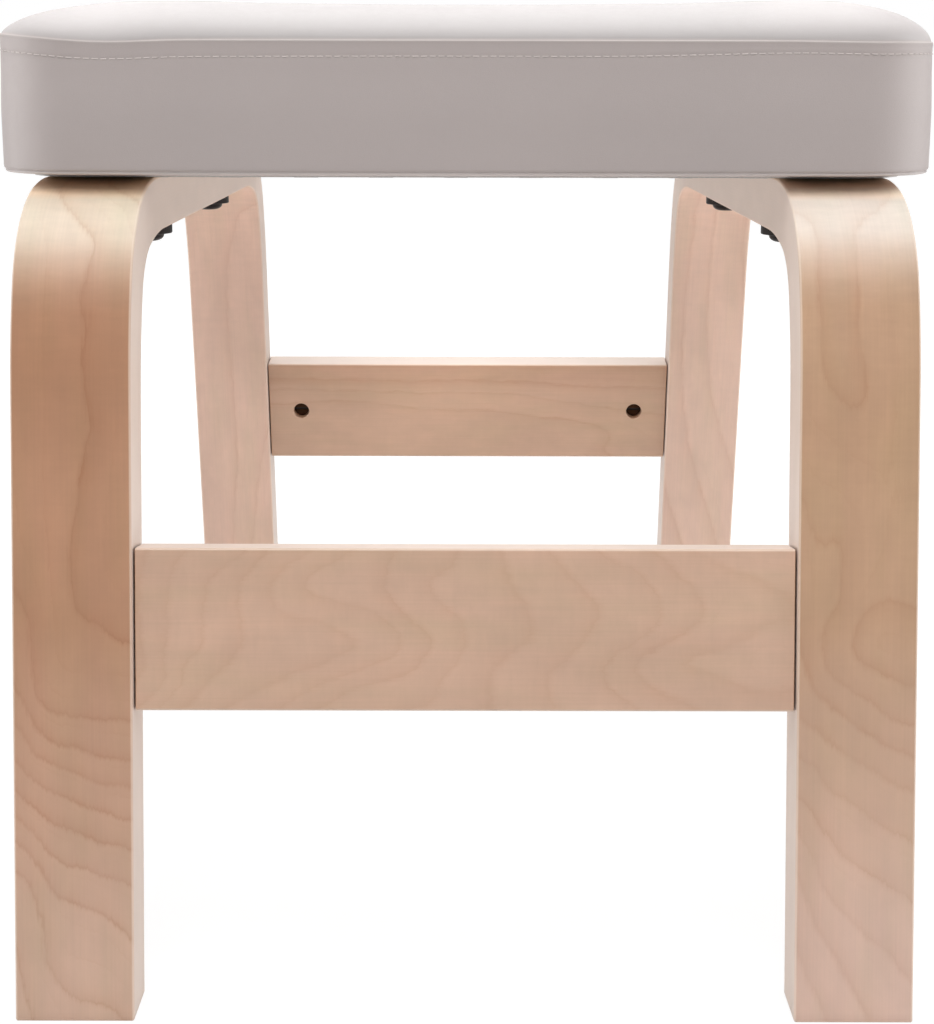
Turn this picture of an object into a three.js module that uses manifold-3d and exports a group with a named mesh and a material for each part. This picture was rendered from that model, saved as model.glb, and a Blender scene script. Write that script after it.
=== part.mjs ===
// Yoga headstand stool: two bent laminated side frames, two rails between their legs and a padded horseshoe seat.
// Millimetres, +Z up. The origin is on the floor under the middle of the stool, +X is to the right and +Y to the rear,
// where the neck opening of the seat is. Every piece is its own closed solid in its own named mesh.
import * as THREE from "three";
import { mergeVertices } from "three/addons/utils/BufferGeometryUtils.js";
import Module from "manifold-3d";

const wasm = await Module();
wasm.setup();

// Side frames
const frameHeight = 311;
const stripWidth = 45;
const stripThickness = 22;
const cornerReach = 210; // from the middle to where the top line and the leg line would meet
const legSplay = THREE.MathUtils.degToRad(9);
const topEaseRadius = 106; // the bend has three radii: slack at the top, tight in the middle, slack at the leg
const topEaseAngle = THREE.MathUtils.degToRad(13);
const bendRadius = 54;
const legEaseRadius = 190;
const legEaseAngle = THREE.MathUtils.degToRad(11.5);
const innerTopEaseRadius = 142; // the inner face of the bend has its own three
const innerTopEaseAngle = THREE.MathUtils.degToRad(14);
const innerBendRadius = 30;
const innerLegEaseRadius = 161;
const innerLegEaseAngle = THREE.MathUtils.degToRad(14);
const stripEdgeEase = 0.8;

// Rails
const railHeight = 61.6;
const railThickness = 16.5;
const railCentreHeight = 145.4;
const railEdgeEase = 0.9;
const railEndGap = 0.4; // the dark line that shows where a rail meets a leg

// Fasteners of the rails
const railBoltDiameter = 6;
const railBoltHeadDiameter = 15;
const railBoltHeadHeight = 2.6;
const railBoltHexWidth = 4;
const railBoltHexDepth = 1.8;
const railBoltHeadRecess = 0.4; // of the head under the outer face of the leg
const barrelNutDiameter = 9;
const barrelNutLength = 8;
const barrelNutInset = 20; // from the end of the rail to the axis of the nut
const barrelNutSlotWidth = 1.4;
const barrelNutSlotDepth = 1.2;
const barrelNutFloor = 2.4; // wood left behind the blind hole of the nut
const dowelDiameter = 8;
const dowelLength = 34;
const dowelSpacing = 36; // between the two dowels of one joint
const dowelChamfer = 0.8;

// Seat
const seatWidth = 369.8;
const seatSideOverhang = 14.9; // of the seat past the outer face of each side frame
const seatLength = 368;
const seatCornerRadius = 34;
const armCornerRadius = 44;
const slotWidth = 144;
const slotMouthRadius = 30;
const frontBarDepth = 110; // from the front of the seat to the inner end of the neck opening
const seamHeight = 52.4; // of the sewn edge over the underside of the cover
const crownRise = 16; // of the crown over the sewn edge
const coverThickness = 1.4;
const bandPullIn = 0.8; // how far the side band draws in under the topstitch
const bandPullInDepth = 14; // from the sewn edge down to there
const coverTuckRadius = 4;
const coverLipWidth = 18; // of the cover turned in under the board
const seamRidgeProud = 0.5;
const seamRidgeHeight = 2.4;
const boardThickness = 12;
const boardInset = 1; // of the board's edge from the inside of the cover
const dustCoverThickness = 0.8;
const dustCoverInset = 9; // of the cloth's edge from the edge of the seat

// Fasteners of the seat
const seatBoltSpacing = 183; // along the frame
const seatBoltFromInnerEdge = 15.7; // of the strip
const seatBoltDiameter = 8;
const seatBoltHeadDiameter = 15;
const seatBoltHeadHeight = 3.4;
const seatBoltHexWidth = 5;
const seatBoltHexDepth = 2.2;
const seatWasherDiameter = 22;
const seatWasherThickness = 5.6;
const teeNutFlangeDiameter = 20;
const teeNutFlangeThickness = 1.6;
const teeNutBarrelDiameter = 10.4;
const teeNutBarrelLength = 9;
const boltEndShort = 1; // by which the seat bolt ends short of the top of its nut

// Clearances and cuts
const fitClearance = 0.3; // round a pin or bolt, and between soft pieces and their neighbours
const seatingGap = 0.2; // between faces that bear on each other
const overrun = 5; // by which a cutter passes the face that it leaves
const roundSides = 20;

const birch = new THREE.MeshStandardMaterial({ color: 0xdcb48f, roughness: 0.55, metalness: 0 });
const dowelBirch = new THREE.MeshStandardMaterial({ color: 0xd2a878, roughness: 0.7, metalness: 0 });
const plywood = new THREE.MeshStandardMaterial({ color: 0xc9a678, roughness: 0.8, metalness: 0 });
const leather = new THREE.MeshStandardMaterial({ color: 0xb5aca7, roughness: 0.5, metalness: 0 });
const foam = new THREE.MeshStandardMaterial({ color: 0xe8e2cf, roughness: 1, metalness: 0 });
const cloth = new THREE.MeshStandardMaterial({ color: 0x26262a, roughness: 1, metalness: 0 });
const blackSteel = new THREE.MeshStandardMaterial({ color: 0x2a2422, roughness: 0.4, metalness: 0.9 });
const zincSteel = new THREE.MeshStandardMaterial({ color: 0xb9bcc0, roughness: 0.35, metalness: 0.9 });

// A three.js geometry as a solid, with its shared vertices merged.
function solidOf(geometry) {
  const plain = geometry.clone();
  for (const name of Object.keys(plain.attributes)) {
    if (name !== "position") plain.deleteAttribute(name);
  }
  const merged = mergeVertices(plain, 1e-3);
  return new wasm.Manifold(
    new wasm.Mesh({
      numProp: 3,
      vertProperties: merged.attributes.position.array,
      triVerts: new Uint32Array(merged.index.array),
    }),
  );
}

function meshOf(name, solid, material) {
  const data = solid.getMesh();
  const geometry = new THREE.BufferGeometry();
  geometry.setAttribute("position", new THREE.BufferAttribute(data.vertProperties, data.numProp));
  geometry.setIndex(new THREE.BufferAttribute(data.triVerts, 1));
  geometry.computeVertexNormals();
  const mesh = new THREE.Mesh(geometry, material);
  mesh.name = name;
  return mesh;
}

// A round bar from one point to another, which a cut or a pin is made of.
function bar(diameter, from, to, sides = roundSides) {
  const axis = new THREE.Vector3().subVectors(to, from);
  const geometry = new THREE.CylinderGeometry(diameter / 2, diameter / 2, axis.length(), sides);
  const turn = new THREE.Quaternion().setFromUnitVectors(new THREE.Vector3(0, 1, 0), axis.clone().normalize());
  geometry.applyQuaternion(turn);
  geometry.translate((from.x + to.x) / 2, (from.y + to.y) / 2, (from.z + to.z) / 2);
  return solidOf(geometry);
}

// A flat outline pushed up from one height to another.
function slab(points, low, high) {
  const shape = new THREE.Shape(points.map((p) => new THREE.Vector2(p.x, p.y)));
  const geometry = new THREE.ExtrudeGeometry(shape, { depth: high - low, bevelEnabled: false });
  geometry.translate(0, 0, low);
  return solidOf(geometry);
}

// Values derived for the frames
const stripOuterX = seatWidth / 2 - seatSideOverhang;
const stripInnerX = stripOuterX - stripWidth;
const stripUnderside = frameHeight - stripThickness;

// One face of the bent strip from the start of its front bend to the front foot, as points with x along the stool
// and y up. inset is the distance of the face from the outer face.
function stripFace(inset, topRadius, topAngle, middleRadius, legRadius, legAngle) {
  const middleAngle = Math.PI / 2 - legSplay - topAngle - legAngle;
  const arcs = [
    { radius: topRadius, angle: topAngle, steps: 4 },
    { radius: middleRadius, angle: middleAngle, steps: 11 },
    { radius: legRadius, angle: legAngle, steps: 4 },
  ];
  const points = [new THREE.Vector2(0, 0)];
  let heading = 0;
  for (const { radius, angle, steps } of arcs) {
    const centre = points[points.length - 1].clone();
    centre.x += radius * Math.sin(heading);
    centre.y -= radius * Math.cos(heading);
    for (let i = 1; i <= steps; i += 1) {
      const now = heading + (angle * i) / steps;
      points.push(new THREE.Vector2(centre.x - radius * Math.sin(now), centre.y + radius * Math.cos(now)));
    }
    heading += angle;
  }
  // The leg line goes on up to where it meets the top line, which is known for the outer face.
  const last = points[points.length - 1];
  const cornerAt = last.x - last.y * Math.tan(legSplay);
  const corner = inset * (1 / Math.cos(legSplay) - Math.tan(legSplay)) - cornerReach;
  const placed = points.map((p) => new THREE.Vector2(p.x - cornerAt + corner, p.y + frameHeight - inset));
  const end = placed[placed.length - 1];
  placed.push(new THREE.Vector2(end.x - end.y * Math.tan(legSplay), 0));
  return placed;
}

// A point on the middle plane of a leg at a height, side -1 for the front legs and 1 for the rear ones.
function legCentre(side, height) {
  const outerFace = cornerReach + (frameHeight - height) * Math.tan(legSplay);
  const middle = outerFace - stripThickness / 2 / Math.cos(legSplay);
  return new THREE.Vector3(0, side * middle, height);
}

// The turn that leans an upright board or pin pattern as the leg leans.
function legTurn(side) {
  return new THREE.Quaternion().setFromAxisAngle(new THREE.Vector3(1, 0, 0), side * legSplay);
}

// Places of the fasteners
const railEndX = stripInnerX - railEndGap;
const railBoltBearingX = stripOuterX - railBoltHeadRecess - railBoltHeadHeight;
const seatBoltX = stripInnerX + seatBoltFromInnerEdge;
const seatBoltPlaces = [
  { name: "left_front", x: -seatBoltX, y: -seatBoltSpacing / 2 },
  { name: "left_rear", x: -seatBoltX, y: seatBoltSpacing / 2 },
  { name: "right_front", x: seatBoltX, y: -seatBoltSpacing / 2 },
  { name: "right_rear", x: seatBoltX, y: seatBoltSpacing / 2 },
];
const railJoints = [
  { name: "front_left", side: -1, hand: -1 },
  { name: "front_right", side: -1, hand: 1 },
  { name: "rear_left", side: 1, hand: -1 },
  { name: "rear_right", side: 1, hand: 1 },
];

// The two dowel axes of a joint, at equal distances from its bolt along the leg.
function dowelAxes(joint) {
  return [-1, 1].map((step) => {
    const along = new THREE.Vector3(0, 0, (step * dowelSpacing) / 2).applyQuaternion(legTurn(joint.side));
    return legCentre(joint.side, railCentreHeight).add(along);
  });
}

function atX(point, x) {
  return new THREE.Vector3(x, point.y, point.z);
}

// One side frame: the bent strip with its edges eased, bored for the seat bolts, the rail bolts and the dowels.
function sideFrame(hand) {
  const outer = stripFace(0, topEaseRadius, topEaseAngle, bendRadius, legEaseRadius, legEaseAngle);
  const inner = stripFace(
    stripThickness,
    innerTopEaseRadius,
    innerTopEaseAngle,
    innerBendRadius,
    innerLegEaseRadius,
    innerLegEaseAngle,
  );
  const rear = (points) => points.map((p) => new THREE.Vector2(-p.x, p.y)).reverse();
  const ring = [...outer.slice().reverse(), ...rear(outer).reverse(), ...rear(inner), ...inner];
  const geometry = new THREE.ExtrudeGeometry(new THREE.Shape(ring), {
    depth: stripWidth - 2 * stripEdgeEase,
    bevelEnabled: true,
    bevelThickness: stripEdgeEase,
    bevelSize: stripEdgeEase,
    bevelOffset: -stripEdgeEase,
    bevelSegments: 1,
  });
  // The outline is drawn along the stool and up, and pushed out across it.
  const across = new THREE.Matrix4().makeBasis(
    new THREE.Vector3(0, 1, 0),
    new THREE.Vector3(0, 0, 1),
    new THREE.Vector3(1, 0, 0),
  );
  geometry.applyMatrix4(across);
  const start = hand > 0 ? stripInnerX : -stripOuterX;
  geometry.translate(start + stripEdgeEase, 0, 0);
  let frame = solidOf(geometry);
  for (const place of seatBoltPlaces.filter((p) => p.x * hand > 0)) {
    const low = new THREE.Vector3(place.x, place.y, stripUnderside - overrun);
    const high = new THREE.Vector3(place.x, place.y, frameHeight + overrun);
    frame = frame.subtract(bar(seatBoltDiameter + 2 * fitClearance, low, high));
  }
  for (const joint of railJoints.filter((j) => j.hand === hand)) {
    const centre = legCentre(joint.side, railCentreHeight);
    const bolt = railBoltDiameter + 2 * fitClearance;
    frame = frame.subtract(
      bar(bolt, atX(centre, hand * (stripInnerX - overrun)), atX(centre, hand * (stripOuterX + overrun))),
    );
    const recessFloor = atX(centre, hand * (railBoltBearingX - seatingGap));
    const recess = railBoltHeadDiameter + 2 * fitClearance;
    frame = frame.subtract(bar(recess, recessFloor, atX(centre, hand * (stripOuterX + overrun))));
    for (const axis of dowelAxes(joint)) {
      const bottom = railEndX + railEndGap / 2 + dowelLength / 2 + fitClearance;
      frame = frame.subtract(
        bar(dowelDiameter + 2 * fitClearance, atX(axis, hand * (stripInnerX - overrun)), atX(axis, hand * bottom)),
      );
    }
  }
  return frame;
}

// One rail: a board with eased edges, leaning with the legs, with a blind hole for each barrel nut in its inner face.
function rail(side) {
  const halfThickness = railThickness / 2;
  const halfHeight = railHeight / 2;
  const shape = new THREE.Shape();
  shape.moveTo(-halfThickness + railEdgeEase, -halfHeight);
  shape.lineTo(halfThickness - railEdgeEase, -halfHeight);
  shape.quadraticCurveTo(halfThickness, -halfHeight, halfThickness, -halfHeight + railEdgeEase);
  shape.lineTo(halfThickness, halfHeight - railEdgeEase);
  shape.quadraticCurveTo(halfThickness, halfHeight, halfThickness - railEdgeEase, halfHeight);
  shape.lineTo(-halfThickness + railEdgeEase, halfHeight);
  shape.quadraticCurveTo(-halfThickness, halfHeight, -halfThickness, halfHeight - railEdgeEase);
  shape.lineTo(-halfThickness, -halfHeight + railEdgeEase);
  shape.quadraticCurveTo(-halfThickness, -halfHeight, -halfThickness + railEdgeEase, -halfHeight);
  const geometry = new THREE.ExtrudeGeometry(shape, { depth: 2 * railEndX, bevelEnabled: false, curveSegments: 3 });
  const across = new THREE.Matrix4().makeBasis(
    new THREE.Vector3(0, 1, 0),
    new THREE.Vector3(0, 0, 1),
    new THREE.Vector3(1, 0, 0),
  );
  geometry.applyMatrix4(across);
  geometry.translate(-railEndX, 0, 0);
  let board = solidOf(geometry);
  for (const hand of [-1, 1]) {
    const nutX = hand * (railEndX - barrelNutInset);
    // The inner face looks to the rear on the front rail and to the front on the rear one.
    const innerFace = new THREE.Vector3(nutX, -side * (halfThickness + overrun), 0);
    const blindEnd = new THREE.Vector3(nutX, side * (halfThickness - barrelNutFloor), 0);
    board = board.subtract(bar(barrelNutDiameter + 2 * fitClearance, innerFace, blindEnd));
    const boltEnd = hand * (railEndX - barrelNutInset - barrelNutDiameter);
    board = board.subtract(
      bar(
        railBoltDiameter + 2 * fitClearance,
        new THREE.Vector3(hand * (railEndX + overrun), 0, 0),
        new THREE.Vector3(boltEnd, 0, 0),
      ),
    );
    for (const step of [-1, 1]) {
      const z = (step * dowelSpacing) / 2;
      const bottom = railEndX + railEndGap / 2 - dowelLength / 2 - fitClearance;
      board = board.subtract(
        bar(
          dowelDiameter + 2 * fitClearance,
          new THREE.Vector3(hand * (railEndX + overrun), 0, z),
          new THREE.Vector3(hand * bottom, 0, z),
        ),
      );
    }
  }
  return board;
}

// A fastener head and shank turned about z, with the head's bearing face at z = 0, the head below and the shank above.
function buttonBolt(headDiameter, headHeight, shankDiameter, shankLength, hexWidth, hexDepth) {
  const rim = headHeight / 3;
  const profile = [
    [0, -headHeight],
    [headDiameter / 4, -headHeight + rim / 4],
    [(headDiameter * 3) / 8, -headHeight + rim],
    [headDiameter / 2, -rim],
    [headDiameter / 2, 0],
    [shankDiameter / 2, 0],
    [shankDiameter / 2, shankLength - shankDiameter / 8],
    [(shankDiameter * 3) / 8, shankLength],
    [0, shankLength],
  ];
  const body = solidOf(
    new THREE.LatheGeometry(
      profile.map(([r, z]) => new THREE.Vector2(r, z)),
      roundSides,
    ).rotateX(Math.PI / 2),
  );
  const socket = bar(
    hexWidth / Math.cos(Math.PI / 6),
    new THREE.Vector3(0, 0, -headHeight - overrun),
    new THREE.Vector3(0, 0, -headHeight + hexDepth),
    6,
  );
  return body.subtract(socket);
}

function flatBolt() {
  const chamfer = railBoltHeadHeight / 4;
  const radius = railBoltHeadDiameter / 2;
  const shank = railBoltDiameter / 2;
  const length = railBoltBearingX - railEndX + barrelNutInset + barrelNutDiameter / 2;
  const profile = [
    [0, -railBoltHeadHeight],
    [radius - chamfer * 2, -railBoltHeadHeight],
    [radius, -chamfer * 2],
    [radius, 0],
    [shank, 0],
    [shank, length - chamfer],
    [shank - chamfer, length],
    [0, length],
  ];
  const body = solidOf(
    new THREE.LatheGeometry(
      profile.map(([r, z]) => new THREE.Vector2(r, z)),
      roundSides,
    ).rotateX(Math.PI / 2),
  );
  const socket = bar(
    railBoltHexWidth / Math.cos(Math.PI / 6),
    new THREE.Vector3(0, 0, -railBoltHeadHeight - overrun),
    new THREE.Vector3(0, 0, -railBoltHeadHeight + railBoltHexDepth),
    6,
  );
  return body.subtract(socket);
}

// A barrel nut along y, cross-bored along x, with a screwdriver slot in the end that shows.
function barrelNut(side) {
  const half = barrelNutLength / 2;
  const shown = -side * half;
  let nut = bar(barrelNutDiameter, new THREE.Vector3(0, -half, 0), new THREE.Vector3(0, half, 0));
  const reach = barrelNutDiameter / 2 + overrun;
  nut = nut.subtract(
    bar(railBoltDiameter + 2 * fitClearance, new THREE.Vector3(-reach, 0, 0), new THREE.Vector3(reach, 0, 0)),
  );
  const slot = new THREE.BoxGeometry(2 * reach, 2 * barrelNutSlotDepth, barrelNutSlotWidth);
  slot.translate(0, shown, 0);
  return nut.subtract(solidOf(slot));
}

// A dowel along x with chamfered ends.
function dowel() {
  const radius = dowelDiameter / 2;
  const half = dowelLength / 2;
  const profile = [
    [0, -half],
    [radius - dowelChamfer, -half],
    [radius, -half + dowelChamfer],
    [radius, half - dowelChamfer],
    [radius - dowelChamfer, half],
    [0, half],
  ];
  const points = profile.map(([r, z]) => new THREE.Vector2(r, z));
  return solidOf(new THREE.LatheGeometry(points, roundSides).rotateZ(Math.PI / 2));
}

// Heights of the seat's layers
const dustCoverBottom = frameHeight + fitClearance;
const coverBottom = dustCoverBottom + dustCoverThickness + fitClearance;
const boardBottom = coverBottom + coverThickness + fitClearance;
const boardTop = boardBottom + boardThickness;
const foamBottom = boardTop + fitClearance;
const seamLevel = coverBottom + seamHeight;

// Values derived for the seat's outline
const seatHalf = seatWidth / 2;
const seatEnd = seatLength / 2;
const slotHalf = slotWidth / 2;
const slotStart = frontBarDepth - seatEnd;

// Stations along the horseshoe from the middle of its front to the end of its right arm, for an outline drawn in by
// inset. Each pairs a point of the outer edge with one of the neck opening's edge.
function armStations(inset) {
  const outer = [];
  const inner = [];
  const line = (list, from, to, steps) => {
    for (let i = 1; i <= steps; i += 1) list.push(new THREE.Vector2().lerpVectors(from, to, i / steps));
  };
  const arc = (list, centre, radius, from, to, steps) => {
    for (let i = 1; i <= steps; i += 1) {
      const angle = from + ((to - from) * i) / steps;
      list.push(new THREE.Vector2(centre.x + radius * Math.cos(angle), centre.y + radius * Math.sin(angle)));
    }
  };
  const quarter = Math.PI / 2;
  const barSteps = 3;
  const cornerSteps = 4;
  const sideSteps = 2;
  const armSteps = 3;
  const endSteps = 4;
  const side = seatHalf - inset;
  const cornerCentre = new THREE.Vector2(seatHalf - seatCornerRadius, seatCornerRadius - seatEnd);
  const armCentre = new THREE.Vector2(seatHalf - armCornerRadius, seatEnd - armCornerRadius);
  const slotCentre = new THREE.Vector2(0, slotStart + slotHalf);
  const mouthCentre = new THREE.Vector2(slotHalf + slotMouthRadius, seatEnd - slotMouthRadius);
  const frontMiddle = new THREE.Vector2(0, inset - seatEnd);
  outer.push(frontMiddle);
  line(outer, frontMiddle, new THREE.Vector2(cornerCentre.x, frontMiddle.y), barSteps);
  arc(outer, cornerCentre, seatCornerRadius - inset, -quarter, 0, cornerSteps);
  const sideMiddle = new THREE.Vector2(side, slotCentre.y);
  line(outer, new THREE.Vector2(side, cornerCentre.y), sideMiddle, sideSteps);
  line(outer, sideMiddle, new THREE.Vector2(side, armCentre.y), armSteps);
  arc(outer, armCentre, armCornerRadius - inset, 0, quarter, endSteps);
  const slotSide = slotHalf + inset;
  inner.push(new THREE.Vector2(0, slotCentre.y - slotSide));
  arc(inner, slotCentre, slotSide, -quarter, 0, barSteps + cornerSteps + sideSteps);
  line(inner, new THREE.Vector2(slotSide, slotCentre.y), new THREE.Vector2(slotSide, mouthCentre.y), armSteps);
  arc(inner, mouthCentre, slotMouthRadius - inset, 2 * quarter, quarter, endSteps);
  return outer.map((point, i) => ({ outer: point, inner: inner[i] }));
}

// The stations of the whole horseshoe, from the end of the left arm round the front to the end of the right one.
function seatStations(inset) {
  const right = armStations(inset);
  const left = right
    .slice(1)
    .reverse()
    .map(({ outer, inner }) => ({
      outer: new THREE.Vector2(-outer.x, outer.y),
      inner: new THREE.Vector2(-inner.x, inner.y),
    }));
  return [...left, ...right];
}

const crossSteps = 8;
const nominalStations = seatStations(0);
const lastStation = nominalStations.length - 1;

// A point of the horseshoe at a station and a step across it. Steps are closer together at the edges, where the
// crown is steep.
function flatPoint(stations, i, j) {
  const acrossShare = (1 - Math.cos((Math.PI * j) / crossSteps)) / 2;
  return new THREE.Vector2().lerpVectors(stations[i].outer, stations[i].inner, acrossShare);
}

// The closed edge of the horseshoe, counterclockwise from above, as pairs of a station and a step across: the outer
// edge, the end of the right arm, the edge of the neck opening and the end of the left arm.
function edgePlaces() {
  const places = [];
  for (let i = 0; i <= lastStation; i += 1) places.push([i, 0]);
  for (let j = 1; j < crossSteps; j += 1) places.push([lastStation, j]);
  for (let i = lastStation; i >= 0; i -= 1) places.push([i, crossSteps]);
  for (let j = crossSteps - 1; j > 0; j -= 1) places.push([0, j]);
  return places;
}

function edgeLoop(inset) {
  const stations = seatStations(inset);
  return edgePlaces().map(([i, j]) => flatPoint(stations, i, j));
}

// Height of the crown over the sewn edge: a pillow arch across the horseshoe that also closes at the arm ends.
function crownAt(i, j) {
  const across = Math.max(0, Math.sin((Math.PI * j) / crossSteps));
  const fromEnd = seatEnd - flatPoint(nominalStations, i, j).y;
  const closing = Math.min(1, fromEnd / (frontBarDepth / 2));
  const edgeOnly = j === 0 || j === crossSteps || i === 0 || i === lastStation;
  return edgeOnly ? 0 : crownRise * across * Math.sqrt(1 - (1 - closing) ** 2);
}

// A closed pad: rings of the edge one above another, a flat underside and a crowned top.
function padSolid(rings) {
  const positions = [];
  const push = (...corners) => corners.forEach((c) => positions.push(c.x, c.y, c.z));
  const loops = rings.map(({ inset, level }) => edgeLoop(inset).map((p) => new THREE.Vector3(p.x, p.y, level)));
  for (let r = 1; r < loops.length; r += 1) {
    const low = loops[r - 1];
    const high = loops[r];
    low.forEach((corner, k) => {
      const next = (k + 1) % low.length;
      push(corner, low[next], high[next]);
      push(corner, high[next], high[k]);
    });
  }
  const bottom = loops[0];
  const flat = bottom.map((p) => new THREE.Vector2(p.x, p.y));
  for (const [a, b, c] of THREE.ShapeUtils.triangulateShape(flat, [])) push(bottom[c], bottom[b], bottom[a]);
  const top = rings[rings.length - 1];
  const topStations = seatStations(top.inset);
  const topPoint = (i, j) => {
    const point = flatPoint(topStations, i, j);
    return new THREE.Vector3(point.x, point.y, top.level + crownAt(i, j));
  };
  for (let i = 1; i <= lastStation; i += 1) {
    for (let j = 1; j <= crossSteps; j += 1) {
      const corners = [topPoint(i - 1, j - 1), topPoint(i, j - 1), topPoint(i, j), topPoint(i - 1, j)];
      push(corners[0], corners[1], corners[2]);
      push(corners[0], corners[2], corners[3]);
    }
  }
  const geometry = new THREE.BufferGeometry();
  geometry.setAttribute("position", new THREE.Float32BufferAttribute(positions, 3));
  return solidOf(geometry);
}

// The sewn cover: a shell over board and foam, turned in under the board and open inside that lip.
function seatCover() {
  const outside = padSolid([
    { inset: coverTuckRadius, level: coverBottom },
    { inset: coverTuckRadius / 4, level: coverBottom + coverTuckRadius / 4 },
    { inset: 0, level: coverBottom + coverTuckRadius },
    { inset: bandPullIn, level: seamLevel - bandPullInDepth },
    { inset: bandPullIn / 4, level: seamLevel - 2 * seamRidgeHeight },
    { inset: -seamRidgeProud, level: seamLevel - seamRidgeHeight / 2 },
    { inset: seamRidgeProud, level: seamLevel },
  ]);
  const inside = padSolid([
    { inset: bandPullIn + coverThickness, level: coverBottom + coverThickness },
    { inset: bandPullIn + coverThickness, level: seamLevel - coverThickness },
  ]);
  const opening = slab(edgeLoop(coverLipWidth), coverBottom - overrun, boardBottom);
  return outside.subtract(inside).subtract(opening);
}

const coreInset = bandPullIn + coverThickness + fitClearance;

function foamPad() {
  return padSolid([
    { inset: coreInset, level: foamBottom },
    { inset: coreInset, level: seamLevel - coverThickness - fitClearance },
  ]);
}

// The plywood board, bored and counterbored from above for the tee nuts.
function seatBoard() {
  let board = slab(edgeLoop(coreInset + boardInset), boardBottom, boardTop);
  for (const { x, y } of seatBoltPlaces) {
    const at = (z) => new THREE.Vector3(x, y, z);
    board = board.subtract(bar(teeNutBarrelDiameter + 2 * fitClearance, at(boardBottom - overrun), at(boardTop)));
    const pocketFloor = boardTop - teeNutFlangeThickness - seatingGap - fitClearance;
    board = board.subtract(bar(teeNutFlangeDiameter + 2 * fitClearance, at(pocketFloor), at(boardTop + overrun)));
  }
  return board;
}

// The thin cloth under the board, over the cover's turned-in lip, with a hole at each bolt.
function dustCover() {
  const top = dustCoverBottom + dustCoverThickness;
  let sheet = slab(edgeLoop(dustCoverInset), dustCoverBottom, top);
  for (const { x, y } of seatBoltPlaces) {
    const low = new THREE.Vector3(x, y, dustCoverBottom - overrun);
    const high = new THREE.Vector3(x, y, top + overrun);
    sheet = sheet.subtract(bar(seatBoltDiameter + 2 * fitClearance, low, high));
  }
  return sheet;
}

// A tee nut hanging from its flange, whose top is at z = 0.
function teeNut() {
  const at = (z) => new THREE.Vector3(0, 0, z);
  const flange = bar(teeNutFlangeDiameter, at(-teeNutFlangeThickness), at(0));
  const barrel = bar(teeNutBarrelDiameter, at(-teeNutBarrelLength), at(-teeNutFlangeThickness / 2));
  const bore = bar(seatBoltDiameter + 2 * fitClearance, at(-teeNutBarrelLength - overrun), at(overrun));
  return flange.add(barrel).subtract(bore);
}

function washer() {
  const at = (z) => new THREE.Vector3(0, 0, z);
  const disc = bar(seatWasherDiameter, at(-seatWasherThickness), at(0));
  return disc.subtract(bar(seatBoltDiameter + 2 * fitClearance, at(-seatWasherThickness - overrun), at(overrun)));
}

function addFrames(stool) {
  stool.add(meshOf("left_frame", sideFrame(-1), birch));
  stool.add(meshOf("right_frame", sideFrame(1), birch));
}

function addRails(stool) {
  for (const [name, side] of [["front_rail", -1], ["rear_rail", 1]]) {
    const board = meshOf(name, rail(side), birch);
    board.position.copy(legCentre(side, railCentreHeight));
    board.quaternion.copy(legTurn(side));
    stool.add(board);
  }
}

function addRailFasteners(stool) {
  for (const joint of railJoints) {
    const group = new THREE.Group();
    group.position.copy(legCentre(joint.side, railCentreHeight));
    group.quaternion.copy(legTurn(joint.side));
    const bolt = meshOf("rail_bolt_" + joint.name, flatBolt(), blackSteel);
    bolt.position.x = joint.hand * railBoltBearingX;
    bolt.rotation.y = (-joint.hand * Math.PI) / 2;
    const nut = meshOf("barrel_nut_" + joint.name, barrelNut(joint.side), blackSteel);
    nut.position.x = joint.hand * (railEndX - barrelNutInset);
    group.add(bolt, nut);
    ["lower", "upper"].forEach((word, i) => {
      const pin = meshOf("dowel_" + joint.name + "_" + word, dowel(), dowelBirch);
      pin.position.x = joint.hand * (railEndX + railEndGap / 2);
      pin.position.z = (i - 1 / 2) * dowelSpacing;
      group.add(pin);
    });
    stool.add(group);
  }
}

function addSeat(stool) {
  stool.add(meshOf("seat_cover", seatCover(), leather));
  stool.add(meshOf("foam_pad", foamPad(), foam));
  stool.add(meshOf("seat_board", seatBoard(), plywood));
  stool.add(meshOf("dust_cover", dustCover(), cloth));
}

function addSeatFasteners(stool) {
  const washerTop = stripUnderside - seatingGap;
  const boltBearing = washerTop - seatWasherThickness - seatingGap;
  const nutTop = boardTop - fitClearance;
  const shankLength = nutTop - boltEndShort - boltBearing;
  for (const { name, x, y } of seatBoltPlaces) {
    const group = new THREE.Group();
    group.position.set(x, y, 0);
    const bolt = meshOf(
      "seat_bolt_" + name,
      buttonBolt(
        seatBoltHeadDiameter,
        seatBoltHeadHeight,
        seatBoltDiameter,
        shankLength,
        seatBoltHexWidth,
        seatBoltHexDepth,
      ),
      blackSteel,
    );
    bolt.position.z = boltBearing;
    const ring = meshOf("seat_washer_" + name, washer(), blackSteel);
    ring.position.z = washerTop;
    const nut = meshOf("tee_nut_" + name, teeNut(), zincSteel);
    nut.position.z = nutTop;
    group.add(bolt, ring, nut);
    stool.add(group);
  }
}

const stool = new THREE.Group();
addFrames(stool);
addRails(stool);
addRailFasteners(stool);
addSeat(stool);
addSeatFasteners(stool);

export default stool;
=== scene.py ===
import math

import bmesh
import bpy
import numpy as np
from bpy.props import FloatProperty, FloatVectorProperty, PointerProperty
from mathutils import Matrix, Vector, kdtree, noise


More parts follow.
